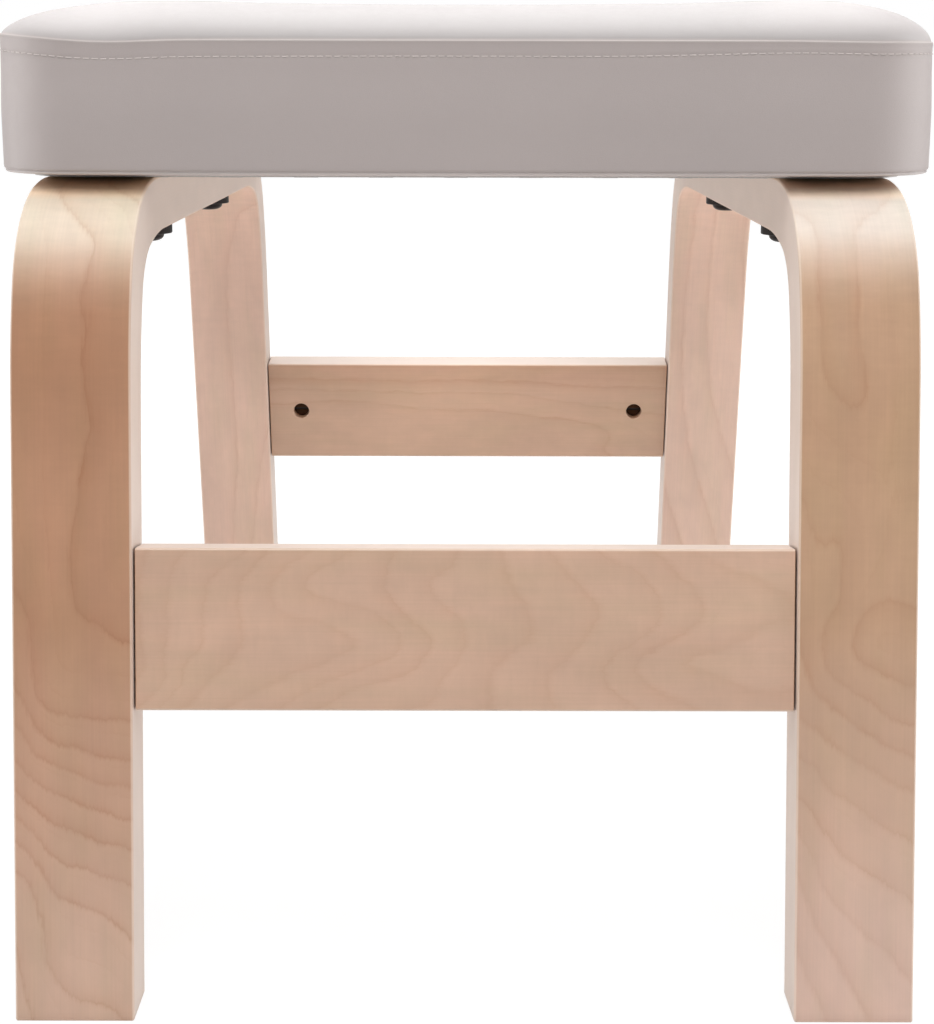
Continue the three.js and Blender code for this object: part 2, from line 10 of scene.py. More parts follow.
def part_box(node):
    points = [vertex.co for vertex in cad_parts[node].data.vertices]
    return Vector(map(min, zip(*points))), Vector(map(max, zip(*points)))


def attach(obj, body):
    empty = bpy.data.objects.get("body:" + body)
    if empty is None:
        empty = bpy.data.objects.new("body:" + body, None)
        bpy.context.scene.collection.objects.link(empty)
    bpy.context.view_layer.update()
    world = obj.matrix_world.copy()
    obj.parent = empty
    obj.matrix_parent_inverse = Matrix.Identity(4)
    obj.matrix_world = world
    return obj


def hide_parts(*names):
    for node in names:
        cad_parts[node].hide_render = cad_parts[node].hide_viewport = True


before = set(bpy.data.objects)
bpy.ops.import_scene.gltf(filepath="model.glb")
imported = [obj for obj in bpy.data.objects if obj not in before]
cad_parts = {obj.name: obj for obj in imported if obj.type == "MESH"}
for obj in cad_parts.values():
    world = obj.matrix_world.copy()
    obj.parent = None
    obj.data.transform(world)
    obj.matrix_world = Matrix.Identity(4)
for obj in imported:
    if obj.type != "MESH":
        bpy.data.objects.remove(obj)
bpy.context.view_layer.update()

bl_info = {
    "name": "Headstand Stool",
    "version": (1, 0, 0),
    "blender": (4, 5, 0),
    "location": "View3D > Sidebar > Stool",
    "description": "Dresses the fixed frame of a padded headstand stool with its wood, cushion and fittings",
    "category": "Add Mesh",
}

ROOT = "root"
SIDES = ("left", "right")
ENDS = ("front", "rear")


def length(name, description, default, **more):
    return FloatProperty(name=name, description=description, default=default, unit="LENGTH", precision=5, **more)


def colour(name, description, default):
    return FloatVectorProperty(
        name=name, description=description, default=default, subtype="COLOR", size=3, min=0.0, max=1.0
    )


def share(name, description, default):
    return FloatProperty(name=name, description=description, default=default, subtype="FACTOR", min=0.0, max=1.0)


def level(name, description, default):
    return FloatProperty(name=name, description=description, default=default, min=0.0)


def angle(name, description, default):
    return FloatProperty(name=name, description=description, default=math.radians(default), subtype="ANGLE")


FRAME_LOW, FRAME_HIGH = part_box("right_frame")
RAIL_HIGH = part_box("front_rail")[1]
COVER_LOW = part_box("seat_cover")[0]
CLOTH_LOW, CLOTH_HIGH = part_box("dust_cover")
BOARD_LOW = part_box("seat_board")[0]

OVERRUN = 0.005  # by which a cutter reaches past the wood
SECTION_SPACING = 0.0028  # between the points round a strip's or a rail's section
WOOD_CREASE, FITTING_CREASE, CUSHION_CREASE, CLOTH_CREASE = 38.0, 35.0, 80.0, 40.0  # degrees


# ---- settings


class StripSettings(bpy.types.PropertyGroup):
    width: length("Strip width", "Width of the bent strip across the stool", FRAME_HIGH.x - FRAME_LOW.x)
    thickness: length("Strip thickness", "Thickness of the bent strip", 0.022)
    corner_reach: length("Corner reach", "From the middle to where the top line and leg line would meet", 0.210)
    leg_splay: angle("Leg splay", "Lean of each leg from upright", 9.0)
    top_ease_radius: length("Top ease radius", "Outer radius where the bend leaves the top", 0.106)
    top_ease_angle: angle("Top ease angle", "Turn of that part of the outer bend", 13.0)
    bend_radius: length("Bend radius", "Outer radius in the middle of the bend", 0.054)
    leg_ease_radius: length("Leg ease radius", "Outer radius where the bend runs into the leg", 0.190)
    leg_ease_angle: angle("Leg ease angle", "Turn of that part of the outer bend", 11.5)
    inner_top_ease_radius: length("Inner top ease radius", "Inner radius where the bend leaves the top", 0.142)
    inner_top_ease_angle: angle("Inner top ease angle", "Turn of that part of the inner bend", 14.0)
    inner_bend_radius: length("Inner bend radius", "Inner radius in the middle of the bend", 0.030)
    inner_leg_ease_radius: length("Inner leg ease radius", "Inner radius where the bend runs into the leg", 0.161)
    inner_leg_ease_angle: angle("Inner leg ease angle", "Turn of that part of the inner bend", 14.0)
    edge_ease: length("Edge ease", "Radius of the sanded long edges", 0.0009)
    foot_ease: length("Foot ease", "Radius of the sanded edge round each foot", 0.0006)


class RailSettings(bpy.types.PropertyGroup):
    height: length("Rail height", "Width of the board, measured along the leg", 0.0616)
    thickness: length("Rail thickness", "Thickness of the board", 0.0165)
    centre_height: length("Centre height", "Height of the rail's middle over the floor", 0.1454)
    edge_ease: length("Edge ease", "Radius of the sanded long edges", 0.0009)
    end_ease: length("End ease", "Radius of the edges at the sawn ends", 0.0003)
    end_gap: length("End gap", "By which each end stops short of the leg", 0.00025)
    nut_inset: length("Nut inset", "From the rail's end to the hole of the barrel nut", 0.020)
    nut_floor: length("Nut floor", "Wood left behind the blind hole of the nut", 0.0024)
    nut_hole_flare: length("Hole flare", "Width of the broken edge round the nut hole", 0.00035)


class FittingSettings(bpy.types.PropertyGroup):
    clearance: length("Clearance", "Gap round a bolt, pin or nut", 0.0003)
    seating: length("Seating gap", "Gap between faces that bear on each other", 0.0002)
    rail_bolt: length("Rail bolt", "Diameter of the bolts through the legs", 0.006)
    rail_bolt_head: length("Rail bolt head", "Diameter of their flat heads", 0.015)
    rail_bolt_head_height: length("Rail bolt head height", "Height of their flat heads", 0.0026)
    rail_bolt_recess: length("Head recess", "Depth of a head under the face of the leg", 0.0004)
    rail_bolt_hex: length("Rail bolt hex", "Width of the key socket", 0.004)
    rail_bolt_hex_depth: length("Rail bolt hex depth", "Depth of the key socket", 0.0018)
    barrel_nut: length("Barrel nut", "Diameter of the barrel nuts", 0.009)
    barrel_nut_length: length("Barrel nut length", "Length of the barrel nuts", 0.008)
    dowel: length("Dowel", "Diameter of the dowels", 0.008)
    dowel_length: length("Dowel length", "Length of the dowels", 0.034)
    dowel_spacing: length("Dowel spacing", "Distance between the two dowels of a joint", 0.036)
    seat_bolt: length("Seat bolt", "Diameter of the bolts that hold the seat", 0.008)
    seat_bolt_head: length("Seat bolt head", "Diameter of their domed heads", 0.015)
    seat_bolt_head_height: length("Seat bolt head height", "Height of their domed heads", 0.0034)
    seat_bolt_hex: length("Seat bolt hex", "Width of the key socket", 0.005)
    seat_bolt_hex_depth: length("Seat bolt hex depth", "Depth of the key socket", 0.0022)
    washer: length("Washer", "Diameter of the washers under the strips", 0.022)
    washer_thickness: length("Washer thickness", "Thickness of those washers", 0.0056)
    seat_bolt_spacing: length("Seat bolt spacing", "Along the frame", 0.183)
    steel: colour("Blackened steel", "Colour of the bolts and washers", (0.030, 0.026, 0.025))
    # The barrel nuts are dark steel; their brown colour is painted shade, so that each reads as the shaded bottom of
    # its hole.
    nut_steel: colour("Oiled steel", "Colour of the barrel nuts", (0.055, 0.026, 0.014))
    zinc: colour("Zinc", "Colour of the tee nuts", (0.62, 0.62, 0.61))
    pin_wood: colour("Dowel wood", "Colour of the dowels", (0.64, 0.43, 0.24))


class BirchSettings(bpy.types.PropertyGroup):
    left_outer: colour("Left outer veneer", "Outer face of the left strip", (0.492, 0.262, 0.157))
    # Painted highlight: the bend colour lightens the bends, where they face the light overhead.
    left_bend: colour("Left bend", "The sanded outside of its bends", (0.755, 0.63, 0.50))
    # Painted light: the foot colour lightens the legs near the pale floor, which throws light back.
    left_foot: colour("Left foot", "Its lower ends", (0.67, 0.45, 0.34))
    left_inner: colour("Left inner veneer", "Inner face of the left strip", (0.78, 0.54, 0.43))
    right_outer: colour("Right outer veneer", "Outer face of the right strip", (0.545, 0.335, 0.212))
    # Painted highlight: the bend colour lightens the bends, where they face the light overhead.
    right_bend: colour("Right bend", "The sanded outside of its bends", (0.78, 0.685, 0.605))
    # Painted light: the foot colour lightens the legs near the pale floor, which throws light back.
    right_foot: colour("Right foot", "Its lower ends", (0.75, 0.525, 0.43))
    right_inner: colour("Right inner veneer", "Inner face of the right strip", (0.83, 0.59, 0.475))
    front_rail: colour("Front rail", "Faces of the front rail", (0.645, 0.425, 0.311))
    rear_rail: colour("Rear rail", "Faces of the rear rail", (0.63, 0.41, 0.292))
    # Partly painted shade: the sawn ends are darker end grain, made darker still so that the gap at each leg reads
    # dark.
    end_grain_and_shade: colour("End grain", "Sawn ends of the rails", (0.26, 0.13, 0.07))
    ply_edge: colour("Strip edges", "The narrow faces where the layers end", (0.76, 0.63, 0.55))
    # Partly a painted highlight along the eased long edges, partly the paler sanded wood.
    sanded: colour("Sanded edge", "The rubbed long edges", (0.86, 0.73, 0.62))
    ring_depth: share("Growth line depth", "How much the growth lines darken the wood", 0.50)
    fibre_depth: share("Fibre depth", "How much the fine fibres vary the wood", 0.06)
    roughness: share("Roughness", "Roughness of the lacquer", 0.45)


class CushionSettings(bpy.types.PropertyGroup):
    width: length("Seat width", "Across the stool, over the band", 0.3698)
    length: length("Seat length", "Along the stool, over the band", 0.368)
    corner_radius: length("Front corner radius", "Seen from above", 0.034)
    arm_corner_radius: length("Arm corner radius", "Outer rear corners, seen from above", 0.044)
    slot_width: length("Neck opening width", "Between the two arms", 0.144)
    mouth_radius: length("Mouth radius", "Where the neck opening meets the arm ends", 0.030)
    bar_depth: length("Front bar depth", "From the front to the inner end of the neck opening", 0.110)
    bottom: length("Underside height", "Over the floor", COVER_LOW.z + 0.0011)
    seam_height: length("Seam height", "Of the sewn edge over the underside", 0.0513)
    crown_rise: length("Crown rise", "Of the crown over the sewn edge", 0.0158)
    corner_lift: length("Corner lift", "By which the sewn edge rises at the left front corner", 0.0029)
    seam_dip: length("Seam dip", "By which it sags beside the two front corners", 0.0009)
    band_inset: length("Band inset", "Of the lower part of the band", -0.0009)
    band_pull: length("Band pull", "How far the topstitch draws the band in", -0.0001)
    hem_height: length("Hem height", "Of the welted strip under the band", 0.0013)
    lip_width: length("Lip width", "Of the cover turned in under the board", 0.028)
    ridge: length("Seam ridge", "How far the sewn edge stands proud", 0.00025)
    swell_share: share("Swell share", "How much of the simulated swelling the cushion follows", 0.22)
    swell_cap: length("Swell cap", "How far a point may move in it", 0.0012)
    leather: colour("Leather", "Colour of the coated fabric", (0.455, 0.398, 0.384))
    # Painted shade: the top panel is the leather made darker and cooler, against the light from above.
    shaded_top_leather: colour("Top leather", "Colour of the top panel, a touch cooler", (0.387, 0.359, 0.354))
    # Painted light: the top panel is made paler towards the sides, where it is drawn over them.
    side_light_paleness: share("Tight paleness", "How much paler the top panel is where it is drawn over the sides", 0.185)
    roughness: share("Leather roughness", "Roughness of its coating", 0.5)


class StitchSettings(bpy.types.PropertyGroup):
    drop: length("Stitch line drop", "Of the topstitch under the sewn edge", 0.0062)
    pitch: length("Stitch pitch", "From one stitch to the next", 0.0033)
    stitch: length("Stitch length", "Length of thread that shows", 0.0023)
    thread: length("Thread", "Diameter of the thread", 0.00042)
    colour: colour("Thread colour", "Colour of the sewing thread", (0.66, 0.60, 0.575))


class UndersideSettings(bpy.types.PropertyGroup):
    cloth_inset: length("Cloth inset", "Of the cloth's edge from the edge of the seat", 0.009)
    front_inset: length("Front inset", "Of its front edge, so that it can't be seen under the cushion", 0.022)
    cloth_thickness: length("Cloth thickness", "Thickness of the cloth", 0.0005)
    staple_inset: length("Staple inset", "Of the staples from the edge of the cloth", 0.0035)
    staple_pitch: length("Staple pitch", "From one staple to the next", 0.030)
    staple_width: length("Staple width", "Length of a staple's crown", 0.0095)
    staple_wire: length("Staple wire", "Thickness of a staple's wire", 0.0005)
    staple_steel: colour("Staple steel", "Colour of the staples", (0.55, 0.55, 0.56))
    cloth: colour("Cloth", "Colour of the dust cloth", (0.62, 0.60, 0.58))
    plywood: colour("Plywood", "Colour of the board", (0.58, 0.40, 0.22))


class StudioSettings(bpy.types.PropertyGroup):
    key_power: level("Key power", "Power of the soft light overhead, in watts", 19.5)
    key_size: length("Key size", "Side of the soft light overhead", 1.6)
    back_power: level("Back power", "Power of the light high behind the stool", 12.0)
    front_power: level("Front power", "Power of the light high over the camera", 16.2)
    left_power: level("Left power", "Power of the light at the left", 9.7)
    right_power: level("Right power", "Power of the light at the right", 11.0)
    room: level("Room light", "Strength of the light from all round", 0.03)
    floor: share("Floor paleness", "How much light the floor throws back", 0.85)
    lens: FloatProperty(name="Lens", description="Focal length in millimetres", default=61.43)
    camera_back: length("Camera distance", "From the middle of the stool to the camera", 0.8632)
    camera_side: length("Camera side", "How far the camera stands to the right of the middle", 0.002)
    camera_height: length("Camera height", "Over the floor", 0.3519)
    camera_pitch: angle("Camera pitch", "Downwards", 11.51)
    camera_roll: angle("Camera roll", "About the line of sight", 0.12)
    shift_x: FloatProperty(name="Shift X", description="Sideways shift of the lens", default=-0.0036)
    shift_y: FloatProperty(name="Shift Y", description="Upward shift of the lens", default=-0.080)


# ---- meshes


def face_grid(rows, columns, wrap_columns=False, start=0):
    """Quads between neighbouring rows of points that are numbered row by row."""
    faces = []
    last = columns if wrap_columns else columns - 1
    for row in range(rows - 1):
        for column in range(last):
            after = (column + 1) % columns
            low = start + row * columns
            high = low + columns
            faces.append((low + column, low + after, high + after, high + column))
    return faces


def closed_faces(rows, around):
    """Faces of a body through closed rows of points, with one face over each end."""
    top = (rows - 1) * around
    ends = [tuple(reversed(range(around))), tuple(range(top, top + around))]
    return face_grid(rows, around, wrap_columns=True) + ends


def placed_object(name, data):
    piece = bpy.data.objects.new(name, data)
    bpy.context.scene.collection.objects.link(piece)
    return piece


def mesh_object(name, points, faces):
    mesh = bpy.data.meshes.new(name)
    mesh.from_pydata([tuple(p) for p in points], [], faces)
    mesh.validate()
    return placed_object(name, mesh)


def face_outwards(piece, merged=1e-7):
    form = bmesh.new()
    form.from_mesh(piece.data)
    bmesh.ops.remove_doubles(form, verts=form.verts, dist=merged)
    bmesh.ops.recalc_face_normals(form, faces=form.faces)
    form.to_mesh(piece.data)
    form.free()
    return piece


def crease_by_angle(piece, limit):
    """Smooth shading with hard edges where two faces meet at more than the limit, in degrees."""
    form = bmesh.new()
    form.from_mesh(piece.data)
    for face in form.faces:
        face.smooth = True
    for edge in form.edges:
        edge.smooth = len(edge.link_faces) == 2 and edge.calc_face_angle(0.0) < math.radians(limit)
    form.to_mesh(piece.data)
    form.free()


def points_of(piece):
    found = np.zeros(len(piece.data.vertices) * 3)
    piece.data.vertices.foreach_get("co", found)
    return found.reshape(-1, 3)


def store(piece, **layers):
    """Keeps numbers or vectors by name for the materials to read: one for each point, or one for all."""
    for name, values in layers.items():
        values = np.asarray(values, np.float32)
        if values.ndim == 0:
            values = np.full(len(piece.data.vertices), values)
        kind, slot = ("FLOAT", "value") if values.ndim == 1 else ("FLOAT_VECTOR", "vector")
        layer = piece.data.attributes.new(name, kind, "POINT")
        layer.data.foreach_set(slot, values.ravel())


def hand_over(piece, material, replaced=()):
    """Gives a finished piece its material and its body, and hides the CAD nodes that it stands for."""
    piece.data.materials.clear()
    piece.data.materials.append(material)
    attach(piece, ROOT)
    if replaced:
        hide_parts(*replaced)
    return piece


def turned(profile, origin, direction, segments=48):
    """Points and faces of a solid of revolution. The profile pairs a distance along the axis with a radius."""
    direction = Vector(direction).normalized()
    across = direction.orthogonal().normalized()
    third = direction.cross(across)
    points = []
    for distance, radius in profile:
        centre = Vector(origin) + direction * distance
        for step in range(segments):
            turn = 2 * math.pi * step / segments
            points.append(centre + (across * math.cos(turn) + third * math.sin(turn)) * radius)
    return points, closed_faces(len(profile), segments)


def rod(radius, start, end, origin, direction, segments):
    """Points and faces of a plain cylinder between two distances along its axis."""
    return turned([(start, radius), (end, radius)], origin, direction, segments)


def turned_piece(name, profile, origin, direction, segments=48):
    return face_outwards(mesh_object(name, *turned(profile, origin, direction, segments)))


def joined(name, parts):
    """One object of several lists of points and faces."""
    points, faces = [], []
    for more_points, more_faces in parts:
        start = len(points)
        points += list(more_points)
        faces += [tuple(start + corner for corner in face) for face in more_faces]
    return face_outwards(mesh_object(name, points, faces))


def made_plain(piece):
    """Turns what the modifiers make of a piece into its own mesh, and a curve into a new object."""
    graph = bpy.context.evaluated_depsgraph_get()
    graph.update()
    seen = piece.evaluated_get(graph)
    made = bpy.data.meshes.new_from_object(seen, preserve_all_data_layers=True, depsgraph=graph)
    if piece.type == "MESH":
        old = piece.data
        piece.modifiers.clear()
        piece.data = made
        bpy.data.meshes.remove(old)
        made.name = piece.name
        return piece
    name = piece.name
    bpy.data.objects.remove(piece)
    return placed_object(name, made)


def carve(piece, tool, crossing=False):
    """Cuts a tool's form out of a piece. The parts of the tool may cross each other if that is said."""
    cut = piece.modifiers.new("carve", "BOOLEAN")
    cut.operation = "DIFFERENCE"
    cut.solver = "EXACT"
    cut.use_self = crossing
    cut.object = tool
    made_plain(piece)
    bpy.data.objects.remove(tool)


def stack_body(name, rings):
    """A closed body through rings of equally many points, with a face over each end."""
    rings = np.asarray(rings)
    return face_outwards(mesh_object(name, rings.reshape(-1, 3), closed_faces(*rings.shape[:2])))


def eased_section(width, depth, ease, spacing, corner_steps=4):
    """A rectangle from (0, 0) to (width, depth) with round corners, as a closed loop of points."""
    half = np.pi / 2
    support = ease / 3
    loop = []

    def straight(start, end):
        start, end = np.array(start), np.array(end)
        run = np.linalg.norm(end - start)
        way = (end - start) / run
        middle = max(1, round((run - 2 * support) / spacing))
        for distance in np.linspace(support, run - support, middle + 1):
            loop.append(start + way * distance)

    def corner(centre, first):
        for step in range(corner_steps + 1):
            turn = first + half * step / corner_steps
            loop.append(np.array(centre) + ease * np.array([np.cos(turn), np.sin(turn)]))

    straight((ease, 0), (width - ease, 0))
    corner((width - ease, ease), -half)
    straight((width, ease), (width, depth - ease))
    corner((width - ease, depth - ease), 0)
    straight((width - ease, depth), (ease, depth))
    corner((ease, depth - ease), half)
    straight((0, depth - ease), (0, ease))
    corner((ease, ease), 2 * half)
    return np.array(loop)


def shrunk(ring, by):
    """A ring drawn in towards its middle by about a length."""
    ring = np.asarray(ring)
    middle = ring.mean(axis=0)
    away = ring - middle
    reach = np.abs(away).max(axis=0)
    reach[reach < 1e-9] = 1.0
    return middle + away * (1 - by / reach)


# ---- node trees


class Nodes:
    """A node tree under construction."""

    def __init__(self, tree):
        self.tree = tree
        self.tree.nodes.clear()

    def add(self, kind, values=None, **settings):
        made = self.tree.nodes.new(kind)
        for name, value in settings.items():
            setattr(made, name, value)
        for socket, value in (values or {}).items():
            self.feed(made.inputs[socket], value)
        return made

    def feed(self, socket, value):
        if isinstance(value, bpy.types.NodeSocket):
            self.tree.links.new(value, socket)
        elif hasattr(socket, "default_value"):
            if socket.type == "RGBA" and len(value) == 3:
                value = (*value, 1.0)
            socket.default_value = value

    def maths(self, operation, *values):
        return self.add("ShaderNodeMath", dict(enumerate(values)), operation=operation).outputs[0]

    def plus(self, first, second):
        return self.maths("ADD", first, second)

    def minus(self, first, second):
        return self.maths("SUBTRACT", first, second)

    def times(self, first, second):
        return self.maths("MULTIPLY", first, second)

    def over(self, first, second):
        return self.maths("DIVIDE", first, second)

    def greater(self, first, second):
        return self.maths("MAXIMUM", first, second)

    def scaled(self, vector, factors):
        return self.add("ShaderNodeVectorMath", {0: vector, 1: factors}, operation="MULTIPLY").outputs[0]

    def vector(self, **parts):
        return self.add("ShaderNodeCombineXYZ", parts).outputs[0]

    def place(self):
        return self.add("ShaderNodeTexCoord").outputs["Object"]

    def noise(self, vector, scale=1.0, detail=2.0, roughness=0.5):
        values = {"Vector": vector, "Scale": scale, "Detail": detail, "Roughness": roughness}
        return self.add("ShaderNodeTexNoise", values).outputs["Fac"]

    def blend(self, amount, first, second, mode="MIX"):
        values = {"Factor": amount, 6: first, 7: second}
        return self.add("ShaderNodeMix", values, data_type="RGBA", blend_type=mode).outputs[2]

    def tinted(self, base, shade):
        """A colour made lighter or darker by a number."""
        grey = self.add("ShaderNodeCombineColor", {0: shade, 1: shade, 2: shade}).outputs[0]
        return self.blend(1.0, base, grey, "MULTIPLY")

    def spread(self, value, low, high, to_low=0.0, to_high=1.0):
        values = {"Value": value, "From Min": low, "From Max": high, "To Min": to_low, "To Max": to_high}
        return self.add("ShaderNodeMapRange", values).outputs[0]

    def curve(self, value, stops):
        made = self.add("ShaderNodeValToRGB", {"Fac": value})
        ramp = made.color_ramp
        while len(ramp.elements) < len(stops):
            ramp.elements.new(0.5)
        for element, (place, grey) in zip(ramp.elements, stops):
            element.position = place
            element.color = (grey, grey, grey, 1.0)
        return made.outputs["Color"]

    def attribute(self, name, kind="Fac"):
        return self.add("ShaderNodeAttribute", attribute_name=name).outputs[kind]

    def bump(self, height, distance, strength=1.0, under=None):
        values = {"Height": height, "Distance": distance, "Strength": strength}
        if under is not None:
            values["Normal"] = under
        return self.add("ShaderNodeBump", values).outputs["Normal"]

    def surface(self, base, roughness, normal, **more):
        values = {"Base Color": base, "Roughness": roughness, "Normal": normal}
        values |= {name.replace("_", " ").title(): value for name, value in more.items()}
        shader = self.add("ShaderNodeBsdfPrincipled", values)
        self.add("ShaderNodeOutputMaterial", {"Surface": shader.outputs[0]})


def new_material(name):
    material = bpy.data.materials.new(name)
    material.use_nodes = True
    return material, Nodes(material.node_tree)


def birch_material(birch):
    """Lacquered birch veneer. The points carry where they lie in the wood, their colour with painted light and shade,
    and how the growth lines pass.
    """
    material, tree = new_material("lacquered_birch")
    lay = tree.attribute("lay", "Vector")
    pace = tree.attribute("pace")

    def along_grain(scales, detail=2.0, roughness=0.5):
        return tree.noise(tree.scaled(lay, scales), detail=detail, roughness=roughness)

    fibre = along_grain((16.0, 1100.0, 1100.0), 3.0, 0.6)
    mottle = along_grain((60.0, 110.0, 110.0), 3.0)
    broad = along_grain((12.0, 34.0, 34.0))
    olive = along_grain((17.0, 60.0, 60.0))
    curl = along_grain((330.0, 55.0, 55.0), 3.0, 0.65)
    wander = along_grain((75.0, 130.0, 130.0))
    jag = along_grain((110.0, 900.0, 900.0), 3.0, 0.6)

    # The growth lines: soft on the side of the early wood and sharp on the other, with fainter ones between them.
    shift = tree.plus(tree.spread(wander, 0.2, 0.8, -1.0, 1.0), tree.spread(jag, 0.2, 0.8, -1.1, 1.1))
    placed = tree.plus(tree.attribute("ring"), tree.over(shift, pace))
    phase = tree.maths("FRACT", placed)
    fine = tree.over(pace, tree.attribute("line_width"))
    before = tree.times(tree.minus(1.0, phase), fine)
    after = tree.times(phase, fine)
    soft_stops = [(0.0, 0.9), (0.05, 0.75), (0.13, 0.46), (0.35, 0.22), (0.7, 0.06), (1.0, 0.0)]
    soft_side = tree.curve(tree.over(before, 9.0), soft_stops)
    hard_side = tree.curve(tree.over(after, 1.8), [(0.0, 0.9), (0.25, 0.5), (0.6, 0.12), (1.0, 0.0)])
    uneven = tree.maths("SINE", tree.times(tree.maths("CEIL", placed), 2.4))
    main_line = tree.times(tree.greater(soft_side, hard_side), tree.spread(uneven, -1.0, 1.0, 0.7, 1.15))
    between = tree.times(tree.minus(1.0, tree.maths("FRACT", tree.times(placed, 3.0))), pace)
    faint = tree.curve(tree.over(between, 15.0), [(0.0, 0.3), (0.08, 0.2), (0.3, 0.08), (1.0, 0.0)])
    faint = tree.times(faint, tree.spread(broad, 0.35, 0.6, 0.2, 1.0))
    line = tree.times(tree.greater(main_line, faint), tree.attribute("figure"))
    line = tree.times(line, tree.spread(mottle, 0.3, 0.7, 0.45, 1.15))

    # The faces of the veneer: clouds, fibres and curl on the colour with its painted light and shade, then the lines.
    tone = tree.plus(tree.spread(broad, 0.3, 0.7, -0.06, 0.06), tree.spread(mottle, 0.3, 0.7, -0.035, 0.035))
    tone = tree.plus(tone, tree.spread(fibre, 0.25, 0.75, -birch.fibre_depth / 2, birch.fibre_depth / 2))
    curled = tree.times(tree.attribute("curl"), tree.spread(curl, 0.3, 0.7, -0.035, 0.035))
    toned = tree.tinted(tree.attribute("tint", "Color"), tree.plus(1.0, tree.plus(tone, curled)))
    toned = tree.blend(tree.spread(olive, 0.45, 0.7, 0.0, 0.6), toned, (0.92, 0.97, 0.91), "MULTIPLY")
    darker = tree.blend(1.0, toned, (0.72, 0.56, 0.46), "MULTIPLY")
    veneer = tree.blend(tree.times(line, birch.ring_depth), toned, darker)

    # The narrow faces: the edges of the layers, lighter or darker by painted light and shade.
    layers_per_metre = 680.0
    depth = tree.add("ShaderNodeSeparateXYZ", {0: lay}).outputs[2]
    layer = tree.maths("FRACT", tree.times(depth, layers_per_metre))
    layer_line = tree.curve(layer, [(0.0, 1.0), (0.08, 0.0), (0.92, 0.0), (1.0, 1.0)])
    edge_shade = tree.minus(tree.plus(1.0, tree.times(tone, 0.5)), tree.times(layer_line, 0.035))
    narrow = tree.tinted(birch.ply_edge, tree.times(edge_shade, tree.attribute("edge_tone")))

    body = tree.blend(tree.attribute("edge_face"), veneer, narrow)
    # The long edges: a painted highlight, partly the paler sanded wood.
    rubbed = tree.blend(tree.times(tree.attribute("sanded"), 0.75), body, birch.sanded)
    rough = tree.spread(fibre, 0.2, 0.8, birch.roughness - 0.05, birch.roughness + 0.05)
    height = tree.minus(tree.times(fibre, 0.6), tree.times(line, 0.3))
    tree.surface(rubbed, rough, tree.bump(height, 0.00005, 0.5))
    return material


def leather_material(cushion):
    """Coated fabric with a fine pressed grain, with a painted highlight along the seam ridge and the hem, painted light
    on the top panel where it is drawn over the sides, and painted shade on the whole top panel."""
    material, tree = new_material("grey_leather")
    place = tree.place()
    cells = tree.add("ShaderNodeTexVoronoi", {"Vector": place, "Scale": 1500.0}, feature="DISTANCE_TO_EDGE")
    grain = tree.curve(cells.outputs[0], [(0.0, 0.0), (0.12, 0.8), (0.4, 1.0)])
    cloudy = tree.noise(place, 14.0)
    soft = tree.noise(place, 320.0)
    shade = tree.plus(tree.spread(cloudy, 0.3, 0.7, 0.985, 1.015), tree.spread(grain, 0.0, 1.0, -0.03, 0.0))
    # Painted light: paler towards the sides of the top panel.
    shade = tree.plus(shade, tree.times(tree.attribute("drawn_tight"), cushion.side_light_paleness))
    # Painted shade: the top panel takes a darker, cooler copy of the leather.
    panel = tree.blend(tree.attribute("top_panel"), cushion.leather, cushion.shaded_top_leather)
    # Painted highlight: lighter along the seam ridge and along the hem.
    with_highlight = tree.blend(tree.times(tree.attribute("rubbed"), 0.35), tree.tinted(panel, shade), (0.72, 0.67, 0.64))
    rough = tree.spread(soft, 0.2, 0.8, cushion.roughness - 0.04, cushion.roughness + 0.06)
    pressed = tree.bump(grain, 0.00006, 0.35)
    tree.surface(with_highlight, rough, tree.bump(soft, 0.0003, 0.12, pressed))
    return material


def thread_material(stitch):
    material, tree = new_material("thread")
    twist = tree.noise(tree.place(), 5200.0)
    base = tree.tinted(stitch.colour, tree.spread(twist, 0.25, 0.75, 0.86, 1.08))
    tree.surface(base, 0.6, tree.bump(twist, 0.0001, 0.4))
    return material


def metal_material(name, base, roughness, speck):
    material, tree = new_material(name)
    place = tree.place()
    grain = tree.noise(place, 900.0, 4.0, 0.65)
    patch = tree.noise(place, 160.0)
    specks = tree.spread(grain, 0.3, 0.7, 1.0 - speck, 1.0 + speck)
    shade = tree.plus(specks, tree.spread(patch, 0.3, 0.7, -speck, speck))
    rough = tree.spread(patch, 0.3, 0.7, roughness - 0.06, roughness + 0.08)
    tree.surface(tree.tinted(base, shade), rough, tree.bump(grain, 0.00004, 0.3), metallic=1.0)
    return material


def plain_wood_material(name, base, scales):
    """Raw wood on a CAD node, with its fibres along the axis of the smallest scale."""
    material, tree = new_material(name)
    place = tree.place()
    fibre = tree.noise(tree.scaled(place, scales), detail=3.0, roughness=0.6)
    broad = tree.noise(place, 40.0)
    shade = tree.plus(tree.spread(fibre, 0.25, 0.75, 0.9, 1.08), tree.spread(broad, 0.3, 0.7, -0.05, 0.05))
    tree.surface(tree.tinted(base, shade), 0.75, tree.bump(fibre, 0.0002, 0.3))
    return material


